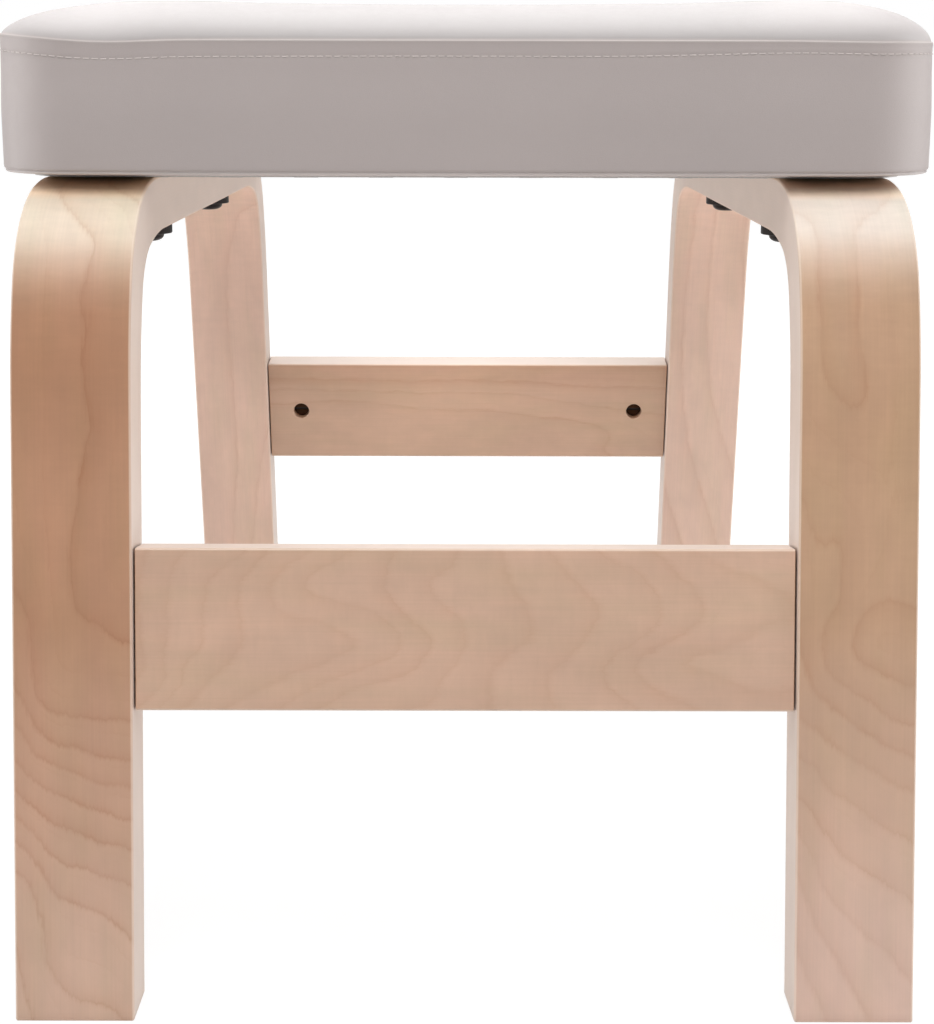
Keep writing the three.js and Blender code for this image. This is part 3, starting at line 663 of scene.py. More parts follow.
def cloth_material(underside):
    """Pale felted cloth, pressed in a fine diamond pattern."""
    material, tree = new_material("dust_cloth")
    place = tree.place()
    hairs = tree.noise(tree.scaled(place, (900.0, 420.0, 900.0)), detail=4.0, roughness=0.7)
    diagonal = tree.add("ShaderNodeMapping", {"Vector": place, "Rotation": (0.0, 0.0, math.radians(45.0))})
    dots = tree.add(
        "ShaderNodeTexVoronoi",
        {"Vector": diagonal.outputs[0], "Scale": 620.0, "Randomness": 0.0},
        distance="CHEBYCHEV",
    )
    press = tree.curve(dots.outputs[0], [(0.0, 0.0), (0.35, 0.1), (0.5, 1.0)])
    shade = tree.plus(tree.spread(hairs, 0.25, 0.75, 0.9, 1.06), tree.spread(press, 0.0, 1.0, -0.05, 0.05))
    height = tree.plus(hairs, tree.times(press, 0.6))
    tree.surface(tree.tinted(underside.cloth, shade), 0.95, tree.bump(height, 0.0002, 0.5), sheen_weight=0.15)
    return material


# ---- the bent strips


def face_line(strip, inset, arcs):
    """One face of the strip from the start of its front bend to the front foot, as (distance, height) pairs."""
    points = [np.zeros(2)]
    heading = 0.0
    for radius, turn, steps in arcs:
        centre = points[-1] + radius * np.array([np.sin(heading), -np.cos(heading)])
        for step in range(1, steps + 1):
            now = heading + turn * step / steps
            points.append(centre + radius * np.array([-np.sin(now), np.cos(now)]))
        heading += turn
    line = np.array(points)
    splay = strip.leg_splay
    corner_at = line[-1, 0] - line[-1, 1] * np.tan(splay)
    corner = inset * (1 / np.cos(splay) - np.tan(splay)) - strip.corner_reach
    line[:, 0] += corner - corner_at
    line[:, 1] += FRAME_HIGH.z - inset
    return line


def strip_lines(strip, leg_steps=64, top_steps=52):
    """Matching points of the outer and the inner face of the strip, from the front foot to the rear foot."""
    steps = (8, 26, 10)
    quarter = np.pi / 2 - strip.leg_splay
    outer_turns = (strip.top_ease_angle, quarter - strip.top_ease_angle - strip.leg_ease_angle, strip.leg_ease_angle)
    inner_turns = (
        strip.inner_top_ease_angle,
        quarter - strip.inner_top_ease_angle - strip.inner_leg_ease_angle,
        strip.inner_leg_ease_angle,
    )
    outer_radii = (strip.top_ease_radius, strip.bend_radius, strip.leg_ease_radius)
    inner_radii = (strip.inner_top_ease_radius, strip.inner_bend_radius, strip.inner_leg_ease_radius)
    halves = []
    for inset, radii, turns in ((0.0, outer_radii, outer_turns), (strip.thickness, inner_radii, inner_turns)):
        bend = face_line(strip, inset, list(zip(radii, turns, steps)))
        end = bend[-1]
        foot = np.array([end[0] - end[1] * np.tan(strip.leg_splay), 0.0])
        leg = [end + (foot - end) * step / leg_steps for step in range(1, leg_steps + 1)]
        half = np.vstack([bend, leg])[::-1]
        reach, level_top = half[-1]
        top = np.array([(reach * (1 - 2 * step / top_steps), level_top) for step in range(1, top_steps)])
        mirrored = half[::-1] * np.array([-1.0, 1.0])
        halves.append(np.vstack([half, top, mirrored]))
    return halves


def with_eased_feet(rings, ease):
    """Rings whose first and last ones are drawn in a little, so that the feet have sanded edges."""
    rings = list(rings)
    for first, second, at_start in ((0, 1, True), (-1, -2, False)):
        foot = rings[first]
        way = rings[second] - foot
        slope = way / way[:, 2:3]
        low = shrunk(foot, ease)
        low[:, 2] = 0.0
        middle = shrunk(foot, ease * 0.3) + slope * ease * 0.3
        full = foot + slope * ease
        added = [low, middle, full]
        if at_start:
            rings = added + rings[1:]
        else:
            rings = rings[:-1] + added[::-1]
    return rings


def leg_middle(side, height):
    """The middle plane of a leg at a height: -1 for the front legs and 1 for the rear ones."""
    strip = bpy.context.scene.stool_strip
    face = strip.corner_reach + (FRAME_HIGH.z - height) * math.tan(strip.leg_splay)
    return Vector((0.0, side * (face - strip.thickness / 2 / math.cos(strip.leg_splay)), height))


def leg_lean(side):
    return Matrix.Rotation(side * bpy.context.scene.stool_strip.leg_splay, 3, "X")


def joint_axis(side, step):
    """A point on a dowel's axis, or on the bolt's for step 0."""
    fitting = bpy.context.scene.stool_fitting
    rail = bpy.context.scene.stool_rail
    return leg_middle(side, rail.centre_height) + leg_lean(side) @ Vector((0, 0, step * fitting.dowel_spacing / 2))


def seat_bolt_place(hand, side):
    low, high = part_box(f"seat_bolt_{SIDES[hand > 0]}_{ENDS[side > 0]}")
    return Vector(((low.x + high.x) / 2, (low.y + high.y) / 2, 0.0))


def frame_cutters(hand):
    """What bores a side frame: stepped cutters for the rail bolts, and plain ones for the dowels and seat bolts."""
    fitting = bpy.context.scene.stool_fitting
    strip = bpy.context.scene.stool_strip
    outer_x = FRAME_HIGH.x
    inner_x = FRAME_LOW.x
    flare = 0.0004
    bearing = OVERRUN + fitting.rail_bolt_recess + fitting.rail_bolt_head_height + fitting.seating
    recess = fitting.rail_bolt_head / 2 + fitting.clearance
    bore = fitting.rail_bolt / 2 + fitting.clearance
    pin = fitting.dowel / 2 + fitting.clearance
    pin_depth = fitting.dowel_length / 2 + fitting.clearance
    seat_bore = fitting.seat_bolt / 2 + fitting.clearance
    parts = []
    for side in (-1, 1):
        start = joint_axis(side, 0)
        start.x = hand * (outer_x + OVERRUN)
        profile = [
            (0.0, recess + flare + OVERRUN),
            (OVERRUN + flare, recess),
            (bearing, recess),
            (bearing, bore),
            (outer_x - inner_x + 2 * OVERRUN, bore),
        ]
        parts.append(turned(profile, start, (-hand, 0, 0)))
        for step in (-1, 1):
            place = joint_axis(side, step)
            place.x = hand * (inner_x - OVERRUN)
            parts.append(rod(pin, 0.0, OVERRUN + pin_depth, place, (hand, 0, 0), 32))
        bolt = seat_bolt_place(hand, side)
        bolt.z = FRAME_HIGH.z - strip.thickness - OVERRUN
        parts.append(rod(seat_bore, 0.0, strip.thickness + 2 * OVERRUN, bolt, (0, 0, 1), 40))
    return joined("frame_cutters", parts)


def to_line(flat, line):
    """For each point the distance to a line of points, and the run along the line to the nearest place."""
    starts, ways = line[:-1], np.diff(line, axis=0)
    runs = np.linalg.norm(ways, axis=1)
    before = np.concatenate([[0.0], np.cumsum(runs)[:-1]])
    best = np.full(len(flat), 1e9)
    along = np.zeros(len(flat))
    for start, way, run, ahead in zip(starts, ways, runs, before):
        offset = flat - start
        place = np.clip((offset @ way) / run**2, 0, 1)
        gap = np.linalg.norm(offset - place[:, None] * way, axis=1)
        nearer = gap < best
        best[nearer] = gap[nearer]
        along[nearer] = ahead + place[nearer] * run
    return best, along


def growth_field(marks, squeeze):
    """A smooth surface through traced growth lines: how many lines are crossed at (along, across), in millimetres."""
    places = np.array([(u * squeeze, v) for _, line in marks for u, v in line], float)
    levels = np.array([crossed for crossed, line in marks for _ in line], float)
    count = len(places)
    smoothing = 20.0

    def bend_of(gaps):
        square = (gaps**2).sum(axis=-1)
        return square * np.log(square + 1e-9)

    system = np.zeros((count + 3, count + 3))
    system[:count, :count] = bend_of(places[:, None] - places[None]) + np.eye(count) * smoothing
    system[:count, count:] = np.column_stack([np.ones(count), places])
    system[count:, :count] = system[:count, count:].T
    weights = np.linalg.solve(system, np.concatenate([levels, np.zeros(3)]))

    def field(along, across):
        found = np.zeros(len(along))
        at_once = 4000
        for first in range(0, len(along), at_once):
            part = slice(first, first + at_once)
            at = np.column_stack([along[part] * squeeze, across[part]])
            found[part] = bend_of(at[:, None] - places[None]) @ weights[:count]
            found[part] += weights[count] + at @ weights[count + 1 :]
        return found

    return field


def plain_field(seed, lines, spread):
    """Growth lines that wander along the wood, for faces that were not traced, in millimetres."""

    def field(along, across):
        run_scale, cross_scale, wander = 0.0042, 0.016, 2.3
        places = zip(along * run_scale, across * cross_scale)
        waves = np.array([noise.noise(Vector((u, v, seed))) for u, v in places])
        return lines * across / spread + wander * waves

    return field


def eased_step(value):
    value = np.clip(value, 0, 1)
    return value * value * (3 - 2 * value)


def blended(first, second, start, end):
    """The first field up to a place along the wood, and the second one from another."""

    def field(along, across):
        share_now = eased_step((along - start) / (end - start))
        return (1 - share_now) * first(along, across) + share_now * second(along, across)

    return field


def ring_values(field, along, across):
    """The level at each point and the distance from one growth line to the next, in millimetres."""
    here = field(along, across)
    probe = 0.5
    slope = np.hypot(field(along + probe, across) - here, field(along, across + probe) - here) / probe
    return here, np.clip(1 / np.maximum(slope, 1e-3), 4.0, 70.0)


def store_growth(piece, along, across, first_face, first_field, second_field):
    """Keeps how the growth lines pass each point, by the field of the face that it lies on."""
    run, cross = along * 1000, across * 1000
    pairs = zip(ring_values(first_field, run, cross), ring_values(second_field, run, cross))
    ring, pace = (np.where(first_face, *pair) for pair in pairs)
    store(piece, ring=ring, pace=pace)


def veneer(name):
    """One of the wood's colours as numbers."""
    return np.array(tuple(getattr(bpy.context.scene.stool_birch, name)))


# Growth lines traced on the faces that show, as (lines crossed, places). A place is (along, across) in millimetres:
# from the front foot and from the inner side of a strip, or from the middle of a rail.
GROWTH_LINES = {
    "left": (
        (1, ((292, 14), (283, 16), (277, 18), (270, 19), (260, 17), (251, 18), (241, 18), (232, 16), (222, 14),
             (217, 17), (208, 19), (199, 19), (189, 21), (178, 23), (166, 23), (157, 21), (150, 13), (143, 1))),
        (2, ((164, 45), (158, 40), (148, 38), (134, 37), (124, 36), (118, 32), (115, 17), (113, 1))),
        (3, ((124, 44), (115, 39), (104, 29), (100, 15), (97, 0))),
        (4, ((109, 42), (97, 29), (93, 20), (89, 1))),
        (5, ((96, 42), (86, 30), (80, 15), (75, 2))),
        (6, ((83, 41), (73, 27), (68, 16), (64, 1))),
        (7, ((73, 41), (61, 31), (56, 16), (51, 2))),
        (8, ((64, 40), (45, 25), (41, 14), (31, 2))),
        (9, ((51, 39), (22, 33), (7, 23))),
        (0.55, ((283, 5), (251, 4), (213, 4), (173, 6))),
        (1.45, ((270, 38), (232, 37), (195, 37))),
    ),
    "right": (
        (1, ((285, 8), (274, 6), (262, 8), (244, 9), (237, 13), (231, 20), (234, 25), (243, 25), (252, 22),
             (262, 21), (274, 22), (282, 21))),
        (0.6, ((280, 15), (266, 15), (251, 16))),
        (1.35, ((283, 38), (259, 37), (232, 36), (270, 2), (232, 2), (213, 19), (210, 40), (187, 31))),
        (1, ((155, 43), (158, 37), (158, 31), (154, 24), (145, 20), (137, 21), (133, 28), (130, 35), (126, 44))),
        (0.6, ((144, 33), (143, 41))),
        (2, ((178, 8), (187, 5))),
        (2, ((184, 14), (168, 17), (156, 16), (150, 11), (139, 9), (131, 12), (127, 20), (121, 28), (116, 35),
             (113, 44))),
        (2.5, ((158, 2), (173, 2))),
        (3, ((136, 3), (121, 11), (110, 24), (105, 32), (99, 44))),
        (4, ((114, 1), (105, 13), (97, 26), (92, 34), (87, 44))),
        (5, ((100, 1), (96, 8), (88, 13), (83, 21), (77, 29), (72, 36), (67, 45))),
        (6, ((82, 2), (74, 8), (67, 14), (60, 21), (56, 27), (51, 35), (46, 42))),
        (7, ((72, 2), (61, 7), (48, 12), (40, 20), (33, 27), (26, 35), (16, 43))),
        (8, ((53, 2), (38, 7), (30, 12), (18, 18), (8, 24), (2, 28))),
        (9, ((24, 2), (12, 6), (3, 11))),
    ),
    "left_rear": (
        (1, ((704, 14), (723, 20), (749, 22), (788, 22), (817, 21), (867, 21), (918, 26))),
        (2, ((846, 3), (876, 9), (918, 14))),
        (1.6, ((752, 2), (806, 1))),
        (0.5, ((752, 38), (853, 39))),
    ),
    "front_rail": (
        (1, ((-107, 28), (-110, 21), (-112, 12), (-112, 2), (-114, -23))),
        (2, ((-84, 29), (-90, 25), (-97, 17), (-99, 4), (-101, -8), (-107, -15), (-113, -26))),
        (3, ((-76, 28), (-84, 19), (-85, 12), (-84, -4), (-87, -10), (-94, -17), (-101, -25))),
        (4, ((-62, 27), (-69, 23), (-74, 15), (-71, 9), (-55, 4), (-45, -2), (-42, -8), (-54, -13), (-69, -19),
             (-84, -26))),
        (5, ((-45, 28), (-57, 23), (-61, 15), (-50, 10), (-30, 4), (-24, -4), (-28, -10), (-45, -16), (-62, -24))),
        (6, ((-27, 28), (-30, 19), (-27, 10), (-19, 3), (-12, -4), (-16, -12), (-31, -19), (-45, -24))),
        (7, ((-4, 26), (-14, 19), (-9, 10), (-1, 0), (-1, -8), (-9, -17), (-12, -26))),
        (8, ((14, 28), (17, 19), (23, 8), (25, -2), (16, -10), (10, -15), (10, -26))),
        (9, ((34, 27), (42, 19), (48, 12), (48, 0), (40, -10), (32, -15), (33, -26))),
        (10, ((51, 28), (66, 21), (72, 12), (72, 2), (63, -6), (53, -12), (52, -18), (60, -26))),
        (11, ((74, 28), (82, 20), (89, 12), (85, 0), (74, -6), (65, -10), (69, -20), (82, -26))),
        (12, ((89, 28), (104, 21), (123, 12))),
        (12, ((124, 4), (106, -2), (89, -8), (83, -10), (89, -15), (101, -20), (123, -22))),
        (12.5, ((116, -10),)),
        (11.6, ((104, 8),)),
    ),
    "rear_rail": (
        (1, ((-121, 5), (-85, 7), (-59, 6), (-34, 2), (-15, 1), (10, 1), (22, 0), (38, -3), (54, -4), (73, -7),
             (84, -10), (86, -26))),
        (2, ((-121, 14), (-84, 13), (-41, 12), (-9, 12), (22, 12), (50, 8), (60, 6), (90, 2), (120, -2))),
        (3, ((-120, 21), (-72, 21), (-9, 20), (53, 18), (119, 16))),
        (0.5, ((-104, -16), (-41, -17), (23, -18))),
    ),
}


# How the veneer of each side frame differs: how much higher the painted highlight of its bend starts, where painted
# shade makes it darker and warmer (heights and shares), the seed of its untraced growth lines, and the strength and the
# width of the traced ones.
STRIP_LOOKS = {
    "left": {
        "highlight_shift": 0.0,
        "warm_shade": ((0.2, 0.248, 0.270, 0.278), (0.0, 1.0, 1.0, 0.0)),
        "seed": 3.1,
        "figure": 1.2,
        "line_width": 1.25,
    },
    "right": {
        "highlight_shift": 0.003,
        "warm_shade": ((0.19, 0.2215, 0.2535, 0.2695, 0.274, 0.281), (0.0, 0.4, 0.05, 0.35, 0.4, 0.0)),
        "seed": 7.7,
        "figure": 0.75,
        "line_width": 1.7,
    },
}
INNER_FIGURE = 0.75
# Painted light and shade, by colour: darker and warmer shade under the bends, a highlight near the top, browner shade
# under the cushion.
WARM_SHADE, SHEEN, SHADED = (0.125, 0.165, 0.215), (0.25, 0.13, 0.02), (0.0, 0.23, 0.43)  # by which each colour changes


def strip_tint_and_light(height, side_name):
    """Colour of the outer veneer by its height over the floor, with painted light and shade in it: a painted highlight
    round the bends, painted light from the floor towards the feet, painted shade that is darker and warmer under the
    bends, a line of painted highlight near the top and browner painted shade above it, under the cushion."""
    looks = STRIP_LOOKS[side_name]
    middle, bend, foot = (veneer(f"{side_name}_{word}") for word in ("outer", "bend", "foot"))

    def by_height(places, shares):
        return np.interp(height, places, shares)[:, None]

    # Painted light from the floor: lighter towards the feet.
    to_floor_light = by_height((0.0, 0.04, 0.075, 0.11, 0.15), (1.0, 0.85, 0.5, 0.3, 0.0))
    # Painted highlight: lighter round the bends.
    bend_places = np.array((0.264, 0.274, 0.279, 0.284, 0.291, 0.299)) + looks["highlight_shift"]
    to_bend_highlight = by_height(bend_places, (0.0, 0.1, 0.22, 0.42, 0.84, 1.0))
    tint = middle * (1 - to_floor_light) + foot * to_floor_light
    # Painted shade: darker and warmer under the bends.
    tint = tint * (1 - by_height(*looks["warm_shade"]) * WARM_SHADE)
    tint = tint * (1 - to_bend_highlight) + bend * to_bend_highlight
    # Painted highlight in a line near the top of the bend.
    sheen = by_height((0.3042, 0.3066, 0.3085, 0.3100), (0.0, 1.0, 1.0, 0.0))
    tint = np.minimum(tint * (1 + sheen * SHEEN), 0.95)
    # Painted shade: browner above, under the cushion.
    return tint * (1 - eased_step((height - 0.3080) / 0.002)[:, None] * SHADED)


def make_frame(side_name):
    strip = bpy.context.scene.stool_strip
    looks = STRIP_LOOKS[side_name]
    hand = -1 if side_name == "left" else 1
    outer, inner = strip_lines(strip)
    section = eased_section(strip.width, strip.thickness, strip.edge_ease, SECTION_SPACING)
    start_x = FRAME_LOW.x if hand > 0 else -FRAME_HIGH.x
    shares = section[:, 1:2] / strip.thickness
    rings = [
        np.column_stack([start_x + section[:, 0], near + (far - near) * shares])
        for near, far in zip(outer, inner)
    ]
    piece = stack_body(f"{side_name}_bent_frame", with_eased_feet(rings, strip.foot_ease))
    carve(piece, frame_cutters(hand))
    crease_by_angle(piece, WOOD_CREASE)

    points = points_of(piece)
    height, flat = points[:, 2], points[:, 1:]
    _, along = to_line(flat, (outer + inner) / 2)
    from_outer, _ = to_line(flat, outer)
    from_inner, _ = to_line(flat, inner)
    across = np.abs(points[:, 0]) - FRAME_LOW.x
    under = strip.thickness * from_outer / (from_outer + from_inner)
    from_side = np.minimum(across, strip.width - across)
    near_edge = np.clip(1 - (from_side + np.minimum(from_outer, from_inner)) / strip.edge_ease, 0, 1)
    within = np.clip(under / strip.thickness, 0, 1)[:, None]
    outside = from_outer < from_inner
    other_wood = 0.3 * (hand + 2)  # so that no two pieces are cut from the same place
    store(
        piece,
        lay=np.column_stack([along, across + other_wood, under]),
        edge_face=(across < 1e-5) | (across > strip.width - 1e-5),
        # Painted light: the narrow faces lighter towards the top and darker towards the floor.
        edge_tone=np.interp(height, (0.05, 0.27), (0.93, 1.07)),
        # A painted highlight along the long edges, partly the paler sanded wood.
        sanded=np.sqrt(near_edge),
        # The veneer's colour with its painted light and shade.
        tint=strip_tint_and_light(height, side_name) * (1 - within) + veneer(f"{side_name}_inner") * within,
        curl=np.interp(height, (0.1, 0.25, 0.28), (0.15, 0.6, 1.0)),
        figure=np.where(outside, looks["figure"], INNER_FIGURE),
        line_width=looks["line_width"],
    )
    wide = 45.0  # the strip's width in millimetres, as the lines were traced
    traced = growth_field(GROWTH_LINES[side_name], 0.45)
    outer_field = blended(traced, plain_field(looks["seed"], 1.3, wide), 285.0, 330.0)
    inner_field = plain_field(looks["seed"] + 20.0, 1.6, wide)
    if f"{side_name}_rear" in GROWTH_LINES:
        inner_field = blended(inner_field, growth_field(GROWTH_LINES[f"{side_name}_rear"], 0.3), 660.0, 700.0)
    store_growth(piece, along, across, outside, outer_field, inner_field)
    hand_over(piece, birch_once(), [f"{side_name}_frame"])


def birch_once():
    """The birch of all strips and rails, made when it is first asked for."""
    return bpy.data.materials.get("lacquered_birch") or birch_material(bpy.context.scene.stool_birch)


# ---- the rails


# Painted light and shade on each rail's narrow faces: a little lighter on the front rail, darker on the rear one.
RAIL_LOOKS = {
    "front": {"edge_tone": 1.03, "redder": 0.0, "curl": 0.6, "squeeze": 1.0, "figure": 0.6, "line_width": 2.0},
    "rear": {"edge_tone": 0.82, "redder": 1.0, "curl": 0.3, "squeeze": 0.3, "figure": 0.75, "line_width": 1.3},
}
REDDER = (0.05, 0.10, 0.12)  # by which each colour falls along the top of a rail


def rail_cutters(side):
    """What bores a rail: flared blind holes for the barrel nuts, the dowels' holes and the bolts' bores."""
    rail, fitting = bpy.context.scene.stool_rail, bpy.context.scene.stool_fitting
    radius = fitting.barrel_nut / 2 + fitting.clearance
    pin = fitting.dowel / 2 + fitting.clearance
    pin_depth = fitting.dowel_length / 2 + fitting.clearance
    bore = fitting.rail_bolt / 2 + fitting.clearance
    into_nut_hole = 0.0008
    profile = [
        (0.0, radius + rail.nut_hole_flare + OVERRUN),
        (OVERRUN + rail.nut_hole_flare, radius),
        (OVERRUN + rail.thickness - rail.nut_floor, radius),
    ]
    parts = []
    for hand in (-1, 1):
        start = (hand * (RAIL_HIGH.x - rail.nut_inset), -side * (rail.thickness / 2 + OVERRUN), 0.0)
        parts.append(turned(profile, start, (0, side, 0), 64))
        outside = hand * (RAIL_HIGH.x - rail.end_gap + OVERRUN)
        for step in (-1, 1):
            place = (outside, 0.0, step * fitting.dowel_spacing / 2)
            parts.append(rod(pin, 0.0, OVERRUN + pin_depth, place, (-hand, 0, 0), 32))
        reach = OVERRUN + rail.nut_inset - radius + into_nut_hole
        parts.append(rod(bore, 0.0, reach, (outside, 0, 0), (-hand, 0, 0), 32))
    return joined("rail_cutters", parts)


def make_rail(end_name):
    rail = bpy.context.scene.stool_rail
    looks = RAIL_LOOKS[end_name]
    side = -1 if end_name == "front" else 1
    size = np.array([rail.thickness, rail.height])
    section = eased_section(rail.thickness, rail.height, rail.edge_ease, SECTION_SPACING) - size / 2
    half = RAIL_HIGH.x - rail.end_gap
    rings = [np.column_stack([np.full(len(section), x), section]) for x in np.linspace(-half, half, 84)]
    ends = []
    for end, inward in ((rings[0], 1), (rings[-1], -1)):
        drawn, full = end.copy(), end.copy()
        drawn[:, 1:] *= 1 - rail.end_ease / (size / 2)
        full[:, 0] += inward * rail.end_ease
        ends.append([drawn, full])
    piece = stack_body(f"{end_name}_rail_board", ends[0] + rings[1:-1] + ends[1][::-1])
    carve(piece, rail_cutters(side), crossing=True)
    crease_by_angle(piece, WOOD_CREASE)

    points = points_of(piece)
    x, y, z = points.T
    at_end = (np.abs(x) > half - 1e-5)[:, None]
    from_edge = rail.height / 2 - np.abs(z)
    from_face = rail.thickness / 2 - np.abs(y)
    redder = eased_step((z - 0.012) / 0.010)[:, None] * looks["redder"]
    other_wood = 0.4 * (side + 3)
    store(
        piece,
        lay=np.column_stack([x, z + other_wood, y]),
        edge_face=np.abs(z) > rail.height / 2 - 1e-5,
        # Painted light and shade on the narrow faces.
        edge_tone=looks["edge_tone"],
        # A painted highlight along the long edges, partly the paler sanded wood.
        sanded=np.sqrt(np.clip(1 - (from_edge + from_face) / rail.edge_ease, 0, 1)),
        # The sawn ends take the end grain colour, which is partly painted shade in the gap at the leg.
        tint=np.where(at_end, veneer("end_grain_and_shade"), veneer(f"{end_name}_rail") * (1 - redder * REDDER)),
        curl=looks["curl"],
        figure=looks["figure"],
        line_width=looks["line_width"],
    )
    traced = growth_field(GROWTH_LINES[f"{end_name}_rail"], looks["squeeze"])
    store_growth(piece, x, z, y < 0, traced, plain_field(11.0 * side, 2.0, 61.0))
    piece.data.transform(Matrix.Translation(leg_middle(side, rail.centre_height)) @ leg_lean(side).to_4x4())
    hand_over(piece, birch_once(), [f"{end_name}_rail"])


# ---- the fittings


KEY_OVERRUN = 0.003
LEFT_AND_RIGHT = tuple(zip((-1, 1), SIDES))
FRONT_AND_REAR = tuple(zip((-1, 1), ENDS))


def key_socket(piece, width, depth, origin, direction):
    """Cuts the six-sided socket for a key into a head."""
    corner = width / 2 / math.cos(math.pi / 6)
    carve(piece, turned_piece("key", [(-KEY_OVERRUN, corner), (depth, corner)], origin, direction, 6))


def new_group(name, labels):
    """A node group that takes a geometry, a number for each label and a finish: the group with its nodes, what it is
    given and the identifiers of its sockets."""
    group = bpy.data.node_groups.new(name, "GeometryNodeTree")
    face = group.interface
    face.new_socket("Geometry", in_out="INPUT", socket_type="NodeSocketGeometry")
    kinds = {label: "NodeSocketFloat" for label in labels} | {"Finish": "NodeSocketMaterial"}
    sockets = {
        label: face.new_socket(label, in_out="INPUT", socket_type=kind).identifier for label, kind in kinds.items()
    }
    face.new_socket("Geometry", in_out="OUTPUT", socket_type="NodeSocketGeometry")
    nodes = Nodes(group)
    return nodes, nodes.add("NodeGroupInput").outputs, sockets


def end_group(nodes, given, placed):
    """Makes the placed copies real and gives them their finish."""
    real = nodes.add("GeometryNodeRealizeInstances", {"Geometry": placed})
    finish = nodes.add("GeometryNodeSetMaterial", {"Geometry": real.outputs[0], "Material": given["Finish"]})
    nodes.add("NodeGroupOutput", {0: finish.outputs[0]})


def run_group(piece, nodes, sockets, values):
    """Puts a node group on a piece, sets its inputs and keeps the result as a plain mesh."""
    modifier = piece.modifiers.new(nodes.tree.name, "NODES")
    modifier.node_group = nodes.tree
    for label, value in values.items():
        modifier[sockets[label]] = value
    return made_plain(piece)


def placing_tree(name):
    """Geometry nodes that set a fitting at the four corners of a rectangle, turned to face outwards."""
    nodes, given, sockets = new_group(name, ("Half Width", "Half Length", "Height", "Lean"))
    width, depth = nodes.times(given["Half Width"], 2.0), nodes.times(given["Half Length"], 2.0)
    corners = nodes.add("GeometryNodeMeshGrid", {"Size X": width, "Size Y": depth, "Vertices X": 2, "Vertices Y": 2})
    lift = nodes.vector(Z=given["Height"])
    raised = nodes.add("GeometryNodeTransform", {"Geometry": corners.outputs["Mesh"], "Translation": lift})
    place = nodes.add("GeometryNodeInputPosition")
    apart = nodes.add("ShaderNodeSeparateXYZ", {0: place.outputs[0]})
    side = nodes.maths("SIGN", apart.outputs["Y"])
    hand = nodes.maths("SIGN", apart.outputs["X"])
    lean = nodes.times(side, given["Lean"])
    about = nodes.times(nodes.maths("LESS_THAN", hand, 0.0), math.pi)
    turn = nodes.add("FunctionNodeEulerToRotation", {0: nodes.vector(X=nodes.times(lean, hand), Z=about)})
    set_down = nodes.add(
        "GeometryNodeInstanceOnPoints",
        {"Points": raised.outputs[0], "Instance": given["Geometry"], "Rotation": turn.outputs[0]},
    )
    end_group(nodes, given, set_down.outputs[0])
    return nodes, sockets


def corner_names(word, by_end=False):
    return [f"{word}_{end}_{side}" if by_end else f"{word}_{side}_{end}" for end in ENDS for side in SIDES]


def set_at_corners(piece, half_width, half_length, height, lean, steel, replaced):
    """Sets a fastener at the four corners of the stool and hands the four over as one piece."""
    nodes, sockets = placing_tree("corners_of_" + piece.name)
    values = {"Half Width": half_width, "Half Length": half_length, "Height": height, "Lean": lean, "Finish": steel}
    piece = run_group(piece, nodes, sockets, values)
    crease_by_angle(piece, FITTING_CREASE)
    hand_over(piece, steel, replaced)


def make_seat_fittings():
    fitting = bpy.context.scene.stool_fitting
    steel = metal_material("black_steel", fitting.steel, 0.42, 0.10)
    place = seat_bolt_place(1, 1)
    head, height = fitting.seat_bolt_head / 2, fitting.seat_bolt_head_height
    shank = fitting.seat_bolt / 2
    low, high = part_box("seat_bolt_right_rear")
    bearing = low.z + height
    dome_steps, broken_edge, point_chamfer = 8, 0.0002, 0.0008
    profile = [(-height, head * 0.30)]
    for step in range(1, dome_steps + 1):
        turn = math.pi / 2 * step / dome_steps
        profile.append((-height * (0.22 + 0.78 * math.cos(turn)), head * (0.42 + 0.56 * math.sin(turn))))
    profile += [(-height * 0.16, head), (-broken_edge, head), (0.0, head - broken_edge), (0.0, shank)]
    length_up = high.z - bearing
    profile += [(length_up - point_chamfer, shank), (length_up, shank - point_chamfer)]
    bolt = turned_piece("seat_bolts", profile, (0, 0, 0), (0, 0, 1), 64)
    key_socket(bolt, fitting.seat_bolt_hex, fitting.seat_bolt_hex_depth, (0, 0, -height), (0, 0, 1))
    set_at_corners(bolt, place.x, place.y, bearing, 0.0, steel, corner_names("seat_bolt"))

    outer, thick = fitting.washer / 2, fitting.washer_thickness
    bore = shank + fitting.clearance
    ease = 0.0004
    loop = [
        (-thick, bore + ease),
        (-thick, outer - ease),
        (-thick + ease * 0.3, outer - ease * 0.3),
        (-thick + ease, outer),
        (-ease, outer),
        (0.0, outer - ease),
        (0.0, bore + ease),
        (-ease, bore),
        (-thick + ease, bore),
    ]
    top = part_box("seat_washer_right_rear")[1].z
    washer = ring_piece("seat_washers", loop, 64)
    set_at_corners(washer, place.x, place.y, top, 0.0, steel, corner_names("seat_washer"))

    zinc = metal_material("zinc_steel", fitting.zinc, 0.35, 0.06)
    for name in corner_names("tee_nut"):
        dress(name, zinc)


def ring_piece(name, loop, segments):
    """A closed ring: a loop of (height, radius) pairs turned about z."""
    points = []
    for step in range(segments):
        turn = 2 * math.pi * step / segments
        points += [(r * math.cos(turn), r * math.sin(turn), z) for z, r in loop]
    count = len(loop)
    faces = []
    for step in range(segments):
        here, after = step * count, (step + 1) % segments * count
        for k in range(count):
            n = (k + 1) % count
            faces.append((here + k, after + k, after + n, here + n))
    return face_outwards(mesh_object(name, points, faces))


def dress(node, material):
    """Gives a CAD node that stays in view a better material."""
    node_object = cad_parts[node]
    node_object.data.materials.clear()
    node_object.data.materials.append(material)


